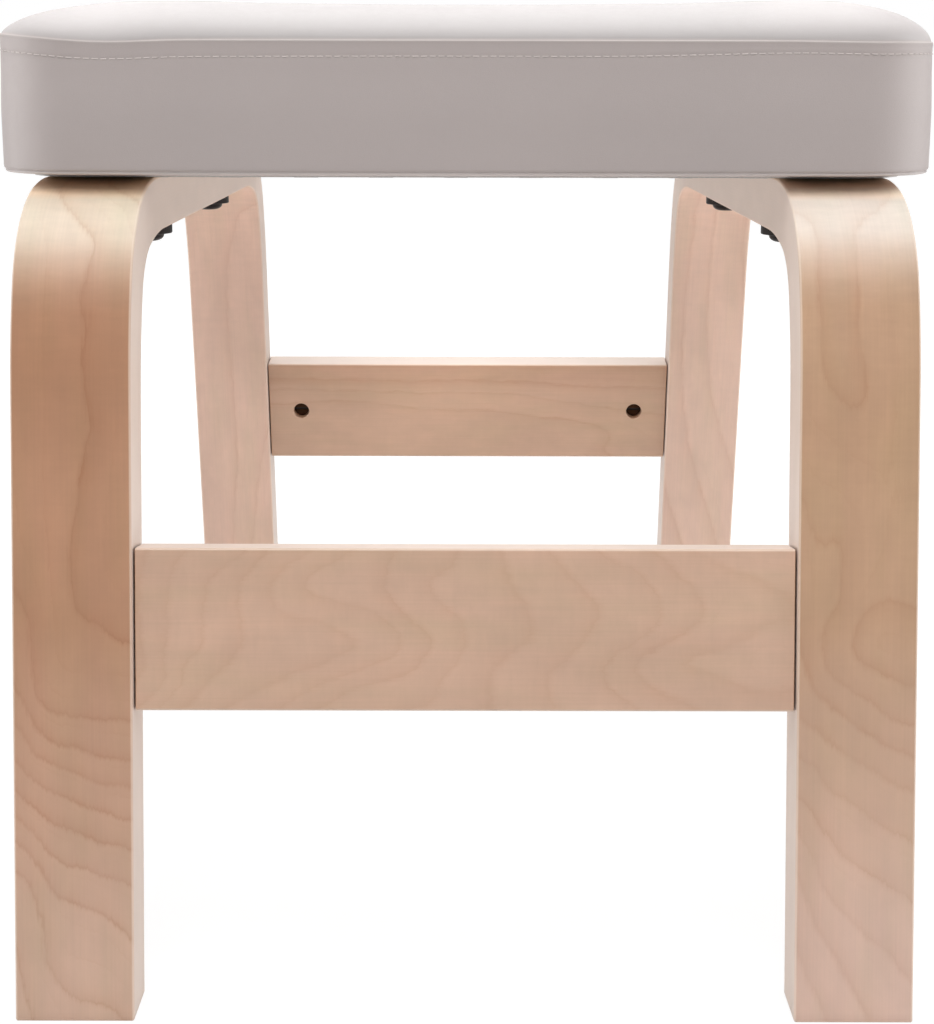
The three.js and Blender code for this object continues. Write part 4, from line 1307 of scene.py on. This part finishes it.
def barrel_nut(name, side):
    """A barrel nut along y with its cross bore and, at the open end of its hole, the slot that turns it."""
    fitting = bpy.context.scene.stool_fitting
    radius, half = fitting.barrel_nut / 2, fitting.barrel_nut_length / 2
    bore = fitting.rail_bolt / 2 + fitting.clearance
    ease, deeper = 0.0003, 0.0005
    slot_width, slot_depth = 0.0014, 0.0012
    low, high = (-half + deeper, half) if side > 0 else (-half, half - deeper)
    profile = [(low, radius - ease), (low + ease, radius), (high - ease, radius), (high, radius - ease)]
    nut = turned_piece(name, profile, (0, 0, 0), (0, 1, 0))
    carve(nut, turned_piece("nut_bore", [(-0.006, bore), (0.006, bore)], (0, 0, 0), (1, 0, 0), 32))
    middle = -side * (half - deeper)
    reaches = (-0.01, 0.01), (middle - slot_depth, middle + slot_depth), (-slot_width / 2, slot_width / 2)
    corners = [(x, y, z) for x in reaches[0] for y in reaches[1] for z in reaches[2]]
    walls = [(0, 1, 3, 2), (4, 6, 7, 5), (0, 4, 5, 1), (2, 3, 7, 6), (0, 2, 6, 4), (1, 5, 7, 3)]
    carve(nut, face_outwards(mesh_object("slot", corners, walls)))
    crease_by_angle(nut, FITTING_CREASE)
    return nut


def make_rail_fittings():
    scene = bpy.context.scene
    fitting, rail, strip = scene.stool_fitting, scene.stool_rail, scene.stool_strip
    steel = metal_material("rail_steel", fitting.steel, 0.40, 0.10)
    middle = leg_middle(1, rail.centre_height)
    radius, height = fitting.rail_bolt_head / 2, fitting.rail_bolt_head_height
    bearing = FRAME_HIGH.x - fitting.rail_bolt_recess - height
    shank = fitting.rail_bolt / 2
    chamfer, broken_edge, point_chamfer = height / 4, 0.0002, 0.0006
    length_in = RAIL_HIGH.x - rail.nut_inset - fitting.barrel_nut / 2 - bearing
    profile = [
        (height, radius - 2.4 * chamfer),
        (height * 0.96, radius - 1.6 * chamfer),
        (height * 0.78, radius - 0.5 * chamfer),
        (height * 0.5, radius),
        (broken_edge, radius),
        (0.0, radius - broken_edge),
        (0.0, shank),
        (length_in + point_chamfer, shank),
        (length_in, shank - point_chamfer),
    ]
    bolt = turned_piece("rail_bolts", profile, (0, 0, 0), (1, 0, 0), 64)
    key_socket(bolt, fitting.rail_bolt_hex, fitting.rail_bolt_hex_depth, (height, 0, 0), (-1, 0, 0))
    names = corner_names("rail_bolt", by_end=True)
    set_at_corners(bolt, bearing, middle.y, middle.z, strip.leg_splay, steel, names)

    # Painted shade: the barrel nuts are dark steel made brown like the shaded bottom of their holes.
    nut_steel = metal_material("nut_steel", fitting.nut_steel, 0.6, 0.10)
    for side, end_name in FRONT_AND_REAR:
        for hand, side_name in LEFT_AND_RIGHT:
            node = f"barrel_nut_{end_name}_{side_name}"
            nut = barrel_nut(f"{node}_turned", side)
            place = leg_middle(side, rail.centre_height)
            place.x = hand * (RAIL_HIGH.x - rail.nut_inset)
            nut.data.transform(Matrix.Translation(place) @ leg_lean(side).to_4x4())
            hand_over(nut, nut_steel, [node])

    pin_wood = plain_wood_material("dowel_wood", fitting.pin_wood, (60.0, 900.0, 900.0))
    for name in corner_names("dowel", by_end=True):
        for word in ("lower", "upper"):
            dress(f"{name}_{word}", pin_wood)


# ---- the cushion


def horseshoe(cushion, inset, steps):
    """Matching points of the outer edge and of the neck opening's edge, from the end of the left arm round the front
    to the end of the right arm, for an outline drawn in by an inset."""
    bar_steps, corner_steps, side_steps, arm_steps, end_steps = steps
    half, end, slot = cushion.width / 2, cushion.length / 2, cushion.slot_width / 2
    slot_y = cushion.bar_depth - end + slot
    quarter = np.pi / 2

    def line(start, stop, count):
        return [np.array(start) + (np.array(stop) - np.array(start)) * k / count for k in range(1, count + 1)]

    def arc(centre, radius, first, last, count):
        turns = first + (last - first) * np.arange(1, count + 1) / count
        return [np.array(centre) + radius * np.array([np.cos(t), np.sin(t)]) for t in turns]

    radius, arm_radius, mouth = cushion.corner_radius, cushion.arm_corner_radius, cushion.mouth_radius
    corner = (half - radius, radius - end)
    arm_corner = (half - arm_radius, end - arm_radius)
    side = half - inset
    outer = [np.array([0.0, inset - end])]
    outer += line(outer[0], (corner[0], inset - end), bar_steps)
    outer += arc(corner, radius - inset, -quarter, 0.0, corner_steps)
    outer += line((side, corner[1]), (side, slot_y), side_steps)
    outer += line((side, slot_y), (side, arm_corner[1]), arm_steps)
    outer += arc(arm_corner, arm_radius - inset, 0.0, quarter, end_steps)
    edge = slot + inset
    inner = [np.array([0.0, slot_y - edge])]
    inner += arc((0.0, slot_y), edge, -quarter, 0.0, bar_steps + corner_steps + side_steps)
    inner += line((edge, slot_y), (edge, end - mouth), arm_steps)
    inner += arc((slot + mouth, end - mouth), mouth - inset, 2 * quarter, quarter, end_steps)
    outer, inner = np.array(outer), np.array(inner)
    flip = np.array([-1.0, 1.0])
    return np.vstack([outer[:0:-1] * flip, outer]), np.vstack([inner[:0:-1] * flip, inner])


def cross_shares(count):
    """Shares across the horseshoe, closer together near its edges."""
    return (1 - np.cos(np.pi * np.arange(count + 1) / count)) / 2


def edge_order(rows, columns):
    """The closed edge of a grid over the horseshoe, counterclockwise from above, as pairs of a row and a column."""
    order = [(i, 0) for i in range(rows)]
    order += [(rows - 1, j) for j in range(1, columns - 1)]
    order += [(i, columns - 1) for i in range(rows - 1, -1, -1)]
    order += [(0, j) for j in range(columns - 2, 0, -1)]
    return order


def edge_of(grid):
    return np.array([grid[i, j] for i, j in edge_order(*grid.shape[:2])])


def flat_grid(cushion, inset, steps, shares):
    outer, inner = horseshoe(cushion, inset, steps)
    return outer[:, None, :] + (inner - outer)[:, None, :] * shares[None, :, None]


def seam_level(cushion):
    return cushion.bottom + cushion.seam_height


# Where the two front corners and the middle of the cushion differ: places across the stool with their reaches.
LEFT_SAG, RIGHT_SAG = (-0.136, 0.017), (0.157, 0.022)
LEFT_FULLNESS, RIGHT_FULLNESS, MIDDLE_FLATNESS = (-0.138, 0.034), (0.164, 0.042), (0.0, 0.095)
LEFT_FALL, RIGHT_FALL = (-0.186, 0.010), (0.186, 0.008)


def hump(x, place, reach):
    """A smooth hump that is 1 at its place."""
    return np.exp(-(((x - place) / reach) ** 2))


def seam_lift(cushion, flat):
    """By how much the sewn edge and all above it rises at the left front corner and sags beside both corners."""
    x, y = flat[..., 0], flat[..., 1]
    corner = np.clip((-x - 0.148) / 0.037, 0, 1) ** 1.5
    sag = hump(x, *LEFT_SAG) + 0.55 * hump(x, *RIGHT_SAG)
    return (cushion.corner_lift * corner - cushion.seam_dip * sag) * eased_step((-0.085 - y) / 0.06)


def stitch_slope(cushion, flat):
    """By how much the topstitch runs lower at the left of the front and higher at its right."""
    x, y = flat[..., 0], flat[..., 1]
    return (0.0016 * eased_step((x - 0.05) / 0.09) - 0.0004 * eased_step(-x / 0.15)) * eased_step((-0.02 - y) / 0.1)


CREASE_INSET = 0.0005
CREASE_DROP = 0.0003
BAND_ROWS = 14
ROOF = BOARD_LOW.z - 0.0001


def cushion_rings(cushion):
    """The band from the turned-in lip up to the crease behind the seam ridge, as rows of
    (inset, height, share of the seam's lift, share of the stitch line's slope)."""
    low, lip = cushion.bottom, cushion.lip_width
    hem = low + cushion.hem_height
    seam = seam_level(cushion)
    line = seam - bpy.context.scene.stool_stitch.drop
    edge, pull, ridge = cushion.band_inset, cushion.band_pull, cushion.ridge
    under = COVER_LOW.z
    below = [
        (lip, ROOF),
        (lip, under + 0.0002),
        (lip - 0.0003, under),
        (0.0235, under),
        (0.0170, under),
        (0.0135, under + 0.0002),
        (0.0090, under + 0.0007),
        (edge + 0.0042, low + 0.00002),
        (edge + 0.0026, low),
        (edge + 0.0016, low + 0.00010),
        (edge + 0.0009, low + 0.00034),
        (edge + 0.0006, low + 0.00066),
        (edge + 0.00055, hem - 0.00030),
        (edge + 0.00075, hem - 0.00008),
        (edge + 0.00075, hem + 0.00008),
        (edge + 0.00025, hem + 0.00034),
        (edge + 0.00005, hem + 0.00080),
    ]
    rings = [(inset, height, 0, 0) for inset, height in below]
    bottom, top = hem + 0.0016, line - 0.0012
    for step in range(BAND_ROWS):
        up = step / (BAND_ROWS - 1)
        near = eased_step((up - 0.45) / 0.55)
        rings.append((edge + (pull - edge) * near, bottom + (top - bottom) * up, up**3, up**3))
    return rings + [
        (pull + 0.00012, line - 0.0004, 1, 1),
        (pull + 0.00016, line + 0.0004, 1, 1),
        (pull * 0.80, line + 0.0013, 1, 1),
        (pull * 0.15, (seam + line) / 2, 1, 0.5),
        (-ridge * 0.35, seam - 0.0018, 1, 0),
        (-ridge * 0.50, seam - 0.00095, 1, 0),
        (-ridge * 1.00, seam - 0.00060, 1, 0),
        (-ridge * 1.10, seam - 0.00030, 1, 0),
        (-ridge * 0.60, seam - 0.00004, 1, 0),
        (0.00008, seam + 0.00004, 1, 0),
        (0.00030, seam - 0.00010, 1, 0),
    ]


def cushion_mesh(cushion):
    """The closed form of the cushion: the band, the crown and, inside the lip, a flat roof over the seat board."""
    steps = (22, 10, 10, 26, 12)
    shares = cross_shares(30)
    rings = cushion_rings(cushion)
    base = flat_grid(cushion, CREASE_INSET, steps, shares)
    under = flat_grid(cushion, cushion.lip_width, steps, shares)
    rows, columns = base.shape[:2]
    order = edge_order(rows, columns)
    around = len(order)
    points = []
    for inset, height, lifted, sloped in rings:
        loop = edge_of(flat_grid(cushion, inset, steps, shares))
        lift = seam_lift(cushion, loop) * lifted + stitch_slope(cushion, loop) * sloped
        points.append(np.column_stack([loop, height + lift]))
    top = seam_level(cushion) - CREASE_DROP + crown(cushion, base, shares) + seam_lift(cushion, base)
    points.append(np.column_stack([base.reshape(-1, 2), top.ravel()]))
    points.append(np.column_stack([under.reshape(-1, 2), np.full(rows * columns, ROOF)]))

    def sewn(ring, grid):
        """Faces between a closed row of points and the edge of a grid."""
        numbers = [(ring + k, grid + i * columns + j) for k, (i, j) in enumerate(order)]
        return [(a, c, d, b) for (a, b), (c, d) in zip(numbers, numbers[1:] + numbers[:1])]

    crown_at = len(rings) * around
    roof_at = crown_at + rows * columns
    faces = face_grid(len(rings), around, wrap_columns=True)
    faces += face_grid(rows, columns, start=crown_at) + sewn(crown_at - around, crown_at)
    faces += [tuple(reversed(face)) for face in face_grid(rows, columns, start=roof_at) + sewn(0, roof_at)]
    return face_outwards(mesh_object("cushion", np.vstack(points), faces), merged=1e-6)


def crown(cushion, grid, shares):
    """Height of the crown over its crease: a pillow arch across the horseshoe that also closes at the arm ends.
    The stuffing is fullest over the two front corners, most of all over the right one."""
    x, y = grid[..., 0], grid[..., 1]
    front = eased_step((-0.06 - y) / 0.06)
    right, left, middle = (hump(x, *at) * front for at in (RIGHT_FULLNESS, LEFT_FULLNESS, MIDDLE_FLATNESS))
    fall = (0.09 * hump(x, *LEFT_FALL) + 0.06 * hump(x, *RIGHT_FALL)) * front
    arch = np.broadcast_to((4 * shares * (1 - shares))[None, :], x.shape)
    across = arch ** (0.55 - 0.09 * right - 0.02 * left + fall)
    extra = (0.0041 * right + 0.0019 * left - 0.0015 * middle) * arch**0.5
    from_end = y.max() - y
    closing = np.clip(from_end / (cushion.bar_depth / 2), 0, 1)
    return ((cushion.crown_rise + CREASE_DROP) * across + extra) * np.sqrt(1 - (1 - closing) ** 2)


SWELL_FRAMES = 20
SWELL_PRESSURE = 4.0
SWELL_VOXEL = 0.005
HELD_UNDER_SEAM, HELD_OVER_SEAM = 0.0085, 0.002
HELD_UNDERSIDE, STILL_UNDERSIDE = 0.004, 0.002


def swell(piece, cushion):
    """Blows up a coarse copy with cloth simulation, as the foam fills the cover, and lets the points follow it a
    little. The underside, the sewn edge and the topstitch hold the cover."""
    scene = bpy.context.scene
    rough = placed_object("swelling", piece.data.copy())
    remesh = rough.modifiers.new("remesh", "REMESH")
    remesh.mode = "VOXEL"
    remesh.voxel_size = SWELL_VOXEL
    made_plain(rough)
    start = points_of(rough)
    seam = seam_level(cushion)
    heights = start[:, 2]
    sewn = (heights > seam - HELD_UNDER_SEAM) & (heights < seam + HELD_OVER_SEAM)
    held = rough.vertex_groups.new(name="held")
    still = np.flatnonzero(sewn | (heights < cushion.bottom + HELD_UNDERSIDE))
    held.add([int(k) for k in still], 1.0, "REPLACE")
    cloth = rough.modifiers.new("cloth", "CLOTH")
    cloth.settings.quality = 4
    cloth.settings.use_pressure = True
    cloth.settings.uniform_pressure_force = SWELL_PRESSURE
    cloth.settings.effector_weights.gravity = 0.0
    cloth.settings.vertex_group_mass = "held"
    cloth.collision_settings.use_collision = False
    cloth.point_cache.frame_start, cloth.point_cache.frame_end = 1, SWELL_FRAMES
    for frame_now in range(1, SWELL_FRAMES + 1):
        scene.frame_set(frame_now)
    made_plain(rough)
    scene.frame_set(1)
    moved = (points_of(rough) - start) * cushion.swell_share
    moved *= np.minimum(1, cushion.swell_cap / np.maximum(np.linalg.norm(moved, axis=1), 1e-9))[:, None]
    bpy.data.objects.remove(rough)
    near = kdtree.KDTree(len(start))
    for k, place in enumerate(start):
        near.insert(place, k)
    near.balance()
    points = points_of(piece)
    for k, place in enumerate(points):
        if place[2] >= cushion.bottom + STILL_UNDERSIDE:
            found = near.find_n(place, 12)
            weights = np.array([1 / (gap + 0.003) for _, _, gap in found])
            points[k] += weights @ moved[[index for _, index, _ in found]] / weights.sum()
    piece.data.vertices.foreach_set("co", points.astype(np.float32).ravel())
    piece.data.update()


def make_cushion():
    cushion = bpy.context.scene.stool_cushion
    piece = cushion_mesh(cushion)
    swell(piece, cushion)
    crease_by_angle(piece, CUSHION_CREASE)
    finer = piece.modifiers.new("finer", "SUBSURF")
    finer.levels = finer.render_levels = 1
    made_plain(piece)
    points = points_of(piece)
    x, z = points[:, 0], points[:, 2]
    over_seam = z - seam_level(cushion) - seam_lift(cushion, points[:, :2])
    # Where the leather gets its painted highlight: along the seam ridge and along the hem.
    near_seam = np.clip(1 - np.abs(over_seam + 0.0003) / 0.0008, 0, 1)
    on_hem = np.clip((cushion.bottom + cushion.hem_height - z) / 0.0003, 0, 1) * (z > cushion.bottom - 0.0001)
    top_panel = np.clip(over_seam / 0.0005, 0, 1)
    # Where the top panel gets its painted light: towards the sides, where it is drawn over them.
    drawn_tight = top_panel * eased_step((np.abs(x) - 0.095) / 0.055)
    store(piece, rubbed=np.maximum(near_seam, on_hem), top_panel=top_panel, drawn_tight=drawn_tight)
    hand_over(piece, leather_material(cushion), ["seat_cover", "foam_pad"])


def stitch_tree():
    """Geometry nodes that lay stitches along a closed line."""
    nodes, given, sockets = new_group("stitches", ("Pitch", "Stitch Length", "Thread"))
    spaced = nodes.add(
        "GeometryNodeResampleCurve", {"Curve": given["Geometry"], "Length": given["Pitch"]}, mode="LENGTH"
    )
    half = nodes.times(given["Stitch Length"], 0.5)
    start, end = nodes.vector(Z=nodes.times(half, -1.0)), nodes.vector(Z=half)
    bow = nodes.vector(X=nodes.times(given["Thread"], 0.7))
    arch = nodes.add(
        "GeometryNodeCurveQuadraticBezier", {"Resolution": 5, "Start": start, "Middle": bow, "End": end}
    )
    ring = nodes.add("GeometryNodeCurvePrimitiveCircle", {"Resolution": 6, "Radius": nodes.times(given["Thread"], 0.5)})
    thread = nodes.add(
        "GeometryNodeCurveToMesh", {"Curve": arch.outputs[0], "Profile Curve": ring.outputs[0], "Fill Caps": True}
    )
    tangent = nodes.add("GeometryNodeInputTangent").outputs[0]
    outward = nodes.add("ShaderNodeVectorMath", {0: tangent, 1: (0.0, 0.0, 1.0)}, operation="CROSS_PRODUCT")
    along = nodes.add("FunctionNodeAlignRotationToVector", {"Vector": tangent}, axis="Z")
    facing = nodes.add(
        "FunctionNodeAlignRotationToVector",
        {"Rotation": along.outputs[0], "Vector": outward.outputs[0]},
        axis="X",
        pivot_axis="Z",
    )
    laid = nodes.add(
        "GeometryNodeInstanceOnPoints",
        {"Points": spaced.outputs[0], "Instance": thread.outputs[0], "Rotation": facing.outputs[0]},
    )
    end_group(nodes, given, laid.outputs[0])
    return nodes, sockets


def closed_line(name, points):
    data = bpy.data.curves.new(name, "CURVE")
    data.dimensions = "3D"
    line = data.splines.new("POLY")
    line.points.add(len(points) - 1)
    for place, point in zip(line.points, points):
        place.co = (*point, 1.0)
    line.use_cyclic_u = True
    return placed_object(name, data)


def lay_along(line, pitch, size, thread, material):
    """Lays stitches or staples along a line and makes one piece of them."""
    nodes, sockets = stitch_tree()
    values = {"Pitch": pitch, "Stitch Length": size, "Thread": thread, "Finish": material}
    piece = run_group(line, nodes, sockets, values)
    for face in piece.data.polygons:
        face.use_smooth = True
    hand_over(piece, material)


def make_topstitch():
    scene = bpy.context.scene
    cushion, stitch = scene.stool_cushion, scene.stool_stitch
    inset = cushion.band_pull + 0.00014
    loop = edge_of(flat_grid(cushion, inset, (44, 20, 20, 52, 24), cross_shares(40)))
    height = seam_level(cushion) - stitch.drop + seam_lift(cushion, loop) + stitch_slope(cushion, loop)
    line = closed_line("topstitch", np.column_stack([loop, height]))
    lay_along(line, stitch.pitch, stitch.stitch, stitch.thread, thread_material(stitch))


def cloth_outline(flat):
    """Draws the cloth's front edge back under the seat."""
    cushion, underside = bpy.context.scene.stool_cushion, bpy.context.scene.stool_underside
    from_front = flat[..., 1] + cushion.length / 2 - underside.cloth_inset
    start, reach = underside.front_inset - underside.cloth_inset, 0.06
    drawn = np.where(from_front < reach, start + from_front * (reach - start) / reach, from_front)
    return np.stack([flat[..., 0], drawn - cushion.length / 2 + underside.cloth_inset], axis=-1)


def make_underside():
    scene = bpy.context.scene
    cushion, underside, fitting = scene.stool_cushion, scene.stool_underside, scene.stool_fitting

    def grid_at(inset):
        return cloth_outline(flat_grid(cushion, inset, (16, 8, 8, 20, 10), cross_shares(14)))

    grid = grid_at(underside.cloth_inset)
    quads = face_grid(*grid.shape[:2])
    flat = grid.reshape(-1, 2)
    sheet = mesh_object("dust_cloth", np.column_stack([flat, np.full(len(flat), CLOTH_HIGH.z)]), quads)
    thick = sheet.modifiers.new("thick", "SOLIDIFY")
    thick.thickness = underside.cloth_thickness
    thick.offset = 1.0
    made_plain(sheet)
    face_outwards(sheet)
    top = points_of(sheet)[:, 2].max()
    if top > CLOTH_HIGH.z + 1e-5:
        sheet.data.transform(Matrix.Translation((0, 0, CLOTH_HIGH.z - top)))
    radius = fitting.seat_bolt / 2 + fitting.clearance
    parts = []
    for hand, _ in LEFT_AND_RIGHT:
        for side, _ in FRONT_AND_REAR:
            place = seat_bolt_place(hand, side)
            place.z = CLOTH_LOW.z
            parts.append(rod(radius, -OVERRUN, OVERRUN, place, (0, 0, 1), 32))
    carve(sheet, joined("cloth_cutters", parts))
    crease_by_angle(sheet, CLOTH_CREASE)

    stapled = edge_of(grid_at(underside.cloth_inset + underside.staple_inset))
    height = np.full(len(stapled), CLOTH_HIGH.z - underside.cloth_thickness)
    line = closed_line("staples", np.column_stack([stapled, height]))
    steel = metal_material("staple_steel", underside.staple_steel, 0.35, 0.05)
    lay_along(line, underside.staple_pitch, underside.staple_width, underside.staple_wire, steel)

    hand_over(sheet, cloth_material(underside), ["dust_cover"])
    dress("seat_board", plain_wood_material("plywood", underside.plywood, (30.0, 500.0, 900.0)))


# ---- the studio


def make_studio():
    make_camera()
    make_floor()
    make_room()
    studio = bpy.context.scene.stool_studio
    add_softbox("key", studio.key_power, studio.key_size, (0.0, 0.0, 1.75))
    add_softbox("back", studio.back_power, 1.2, (0.0, 1.0, 1.5))
    add_softbox("front", studio.front_power, 1.2, (0.0, -1.1, 1.6))
    add_softbox("left", studio.left_power, 1.1, (-1.4, -0.1, 0.55))
    add_softbox("right", studio.right_power, 1.1, (1.4, -0.1, 0.55))


def make_camera():
    scene = bpy.context.scene
    studio = scene.stool_studio
    scene.view_settings.view_transform = "Standard"
    lens = bpy.data.cameras.new("camera")
    lens.lens = studio.lens
    lens.sensor_width = 36.0
    lens.shift_x, lens.shift_y = studio.shift_x, studio.shift_y
    lens.clip_start, lens.clip_end = 0.05, 40.0
    camera = placed_object("camera", lens)
    camera.location = (studio.camera_side, -studio.camera_back, studio.camera_height)
    tilt = Matrix.Rotation(math.pi / 2 - studio.camera_pitch, 3, "X")
    camera.rotation_euler = (tilt @ Matrix.Rotation(studio.camera_roll, 3, "Z")).to_euler()
    scene.camera = camera


def make_floor():
    """A pale floor that throws light back as paper does and looks white to the camera, with the stool's shadow."""
    paleness, far = bpy.context.scene.stool_studio.floor, 6
    floor = mesh_object("floor", [(-far, -far, 0), (far, -far, 0), (far, far, 0), (-far, far, 0)], [(0, 1, 2, 3)])
    material, tree = new_material("pale_floor")
    reach = tree.add("ShaderNodeVectorMath", {0: tree.place()}, operation="LENGTH").outputs["Value"]
    paper = tree.add("ShaderNodeBsdfDiffuse", {"Color": (paleness, paleness, paleness)})
    seen_paper = tree.add("ShaderNodeBsdfDiffuse", {"Color": (0.16, 0.16, 0.16)})
    brightness = tree.spread(reach, 0.35, 1.1, 0.86, 1.0)
    glow = tree.add("ShaderNodeEmission", {"Color": (1.0, 1.0, 1.0), "Strength": brightness})
    seen = tree.add("ShaderNodeAddShader", {0: seen_paper.outputs[0], 1: glow.outputs[0]})
    path = tree.add("ShaderNodeLightPath").outputs
    direct = tree.greater(path["Is Camera Ray"], path["Is Transmission Ray"])
    chosen = tree.add("ShaderNodeMixShader", {0: direct, 1: paper.outputs[0], 2: seen.outputs[0]})
    tree.add("ShaderNodeOutputMaterial", {"Surface": chosen.outputs[0]})
    floor.data.materials.append(material)


def make_room():
    """The world: white to the camera and in reflections, and only a little light on the stool."""
    scene = bpy.context.scene
    world = bpy.data.worlds.new("room")
    scene.world = world
    world.use_nodes = True
    room = Nodes(world.node_tree)
    path = room.add("ShaderNodeLightPath").outputs
    shown = room.greater(path["Is Camera Ray"], path["Is Glossy Ray"])
    shown = room.greater(shown, path["Is Transmission Ray"])
    strength = room.spread(shown, 0.0, 1.0, scene.stool_studio.room, 1.0)
    sky = room.add("ShaderNodeBackground", {"Color": (1.0, 1.0, 1.0), "Strength": strength})
    room.add("ShaderNodeOutputWorld", {"Surface": sky.outputs[0]})


def add_softbox(name, power, size, place, target=(0.0, 0.0, 0.25)):
    lamp = bpy.data.lights.new(name, "AREA")
    lamp.energy = power
    lamp.size = size
    lamp_object = placed_object(name, lamp)
    lamp_object.location = place
    lamp_object.rotation_euler = (Vector(target) - Vector(place)).to_track_quat("-Z", "Y").to_euler()


# ---- operators


class STOOL_OT_studio(bpy.types.Operator):
    """Sets up the camera, the pale floor, the room and its soft lights"""

    bl_idname = "stool.studio"
    bl_label = "Studio"

    def execute(self, context):
        make_studio()
        return {"FINISHED"}


class STOOL_OT_frames(bpy.types.Operator):
    """Builds the two bent side frames"""

    bl_idname = "stool.frames"
    bl_label = "Bent Side Frames"

    def execute(self, context):
        for side_name in SIDES:
            make_frame(side_name)
        return {"FINISHED"}


class STOOL_OT_rails(bpy.types.Operator):
    """Builds the front and the rear rail"""

    bl_idname = "stool.rails"
    bl_label = "Rails"

    def execute(self, context):
        for end_name in ENDS:
            make_rail(end_name)
        return {"FINISHED"}


class STOOL_OT_rail_fittings(bpy.types.Operator):
    """Builds the bolts, barrel nuts and dowels of the rails"""

    bl_idname = "stool.rail_fittings"
    bl_label = "Rail Fittings"

    def execute(self, context):
        make_rail_fittings()
        return {"FINISHED"}


class STOOL_OT_cushion(bpy.types.Operator):
    """Builds the padded horseshoe cushion"""

    bl_idname = "stool.cushion"
    bl_label = "Cushion"

    def execute(self, context):
        make_cushion()
        return {"FINISHED"}


class STOOL_OT_topstitch(bpy.types.Operator):
    """Sews the line of stitches under the cushion's seam"""

    bl_idname = "stool.topstitch"
    bl_label = "Topstitch"

    def execute(self, context):
        make_topstitch()
        return {"FINISHED"}


class STOOL_OT_underside(bpy.types.Operator):
    """Closes the seat from below with its board and dust cloth"""

    bl_idname = "stool.underside"
    bl_label = "Seat Underside"

    def execute(self, context):
        make_underside()
        return {"FINISHED"}


class STOOL_OT_seat_fittings(bpy.types.Operator):
    """Builds the bolts and washers that hold the seat"""

    bl_idname = "stool.seat_fittings"
    bl_label = "Seat Fittings"

    def execute(self, context):
        make_seat_fittings()
        return {"FINISHED"}


OPERATORS = (
    STOOL_OT_studio,
    STOOL_OT_frames,
    STOOL_OT_rails,
    STOOL_OT_rail_fittings,
    STOOL_OT_cushion,
    STOOL_OT_topstitch,
    STOOL_OT_underside,
    STOOL_OT_seat_fittings,
)
SETTINGS = {
    "stool_strip": StripSettings,
    "stool_rail": RailSettings,
    "stool_fitting": FittingSettings,
    "stool_birch": BirchSettings,
    "stool_cushion": CushionSettings,
    "stool_stitch": StitchSettings,
    "stool_underside": UndersideSettings,
    "stool_studio": StudioSettings,
}


class STOOL_PT_panel(bpy.types.Panel):
    """Lists the settings and the steps of the stool"""

    bl_idname = "STOOL_PT_panel"
    bl_label = "Headstand Stool"
    bl_space_type = "VIEW_3D"
    bl_region_type = "UI"
    bl_category = "Stool"

    def draw(self, context):
        for operator in OPERATORS:
            self.layout.operator(operator.bl_idname)
        for name, group in SETTINGS.items():
            box = self.layout.box()
            box.label(text=name.replace("_", " ").title())
            for prop in group.__annotations__:
                box.prop(getattr(context.scene, name), prop)


def register():
    for group in SETTINGS.values():
        bpy.utils.register_class(group)
    for name, group in SETTINGS.items():
        setattr(bpy.types.Scene, name, PointerProperty(type=group))
    for operator in OPERATORS:
        bpy.utils.register_class(operator)
    bpy.utils.register_class(STOOL_PT_panel)


def unregister():
    bpy.utils.unregister_class(STOOL_PT_panel)
    for operator in reversed(OPERATORS):
        bpy.utils.unregister_class(operator)
    for name, group in reversed(SETTINGS.items()):
        delattr(bpy.types.Scene, name)
        bpy.utils.unregister_class(group)


def main():
    register()
    for operator in OPERATORS:
        family, step = operator.bl_idname.split(".")
        getattr(getattr(bpy.ops, family), step)()


if __name__ == "__main__":
    main()
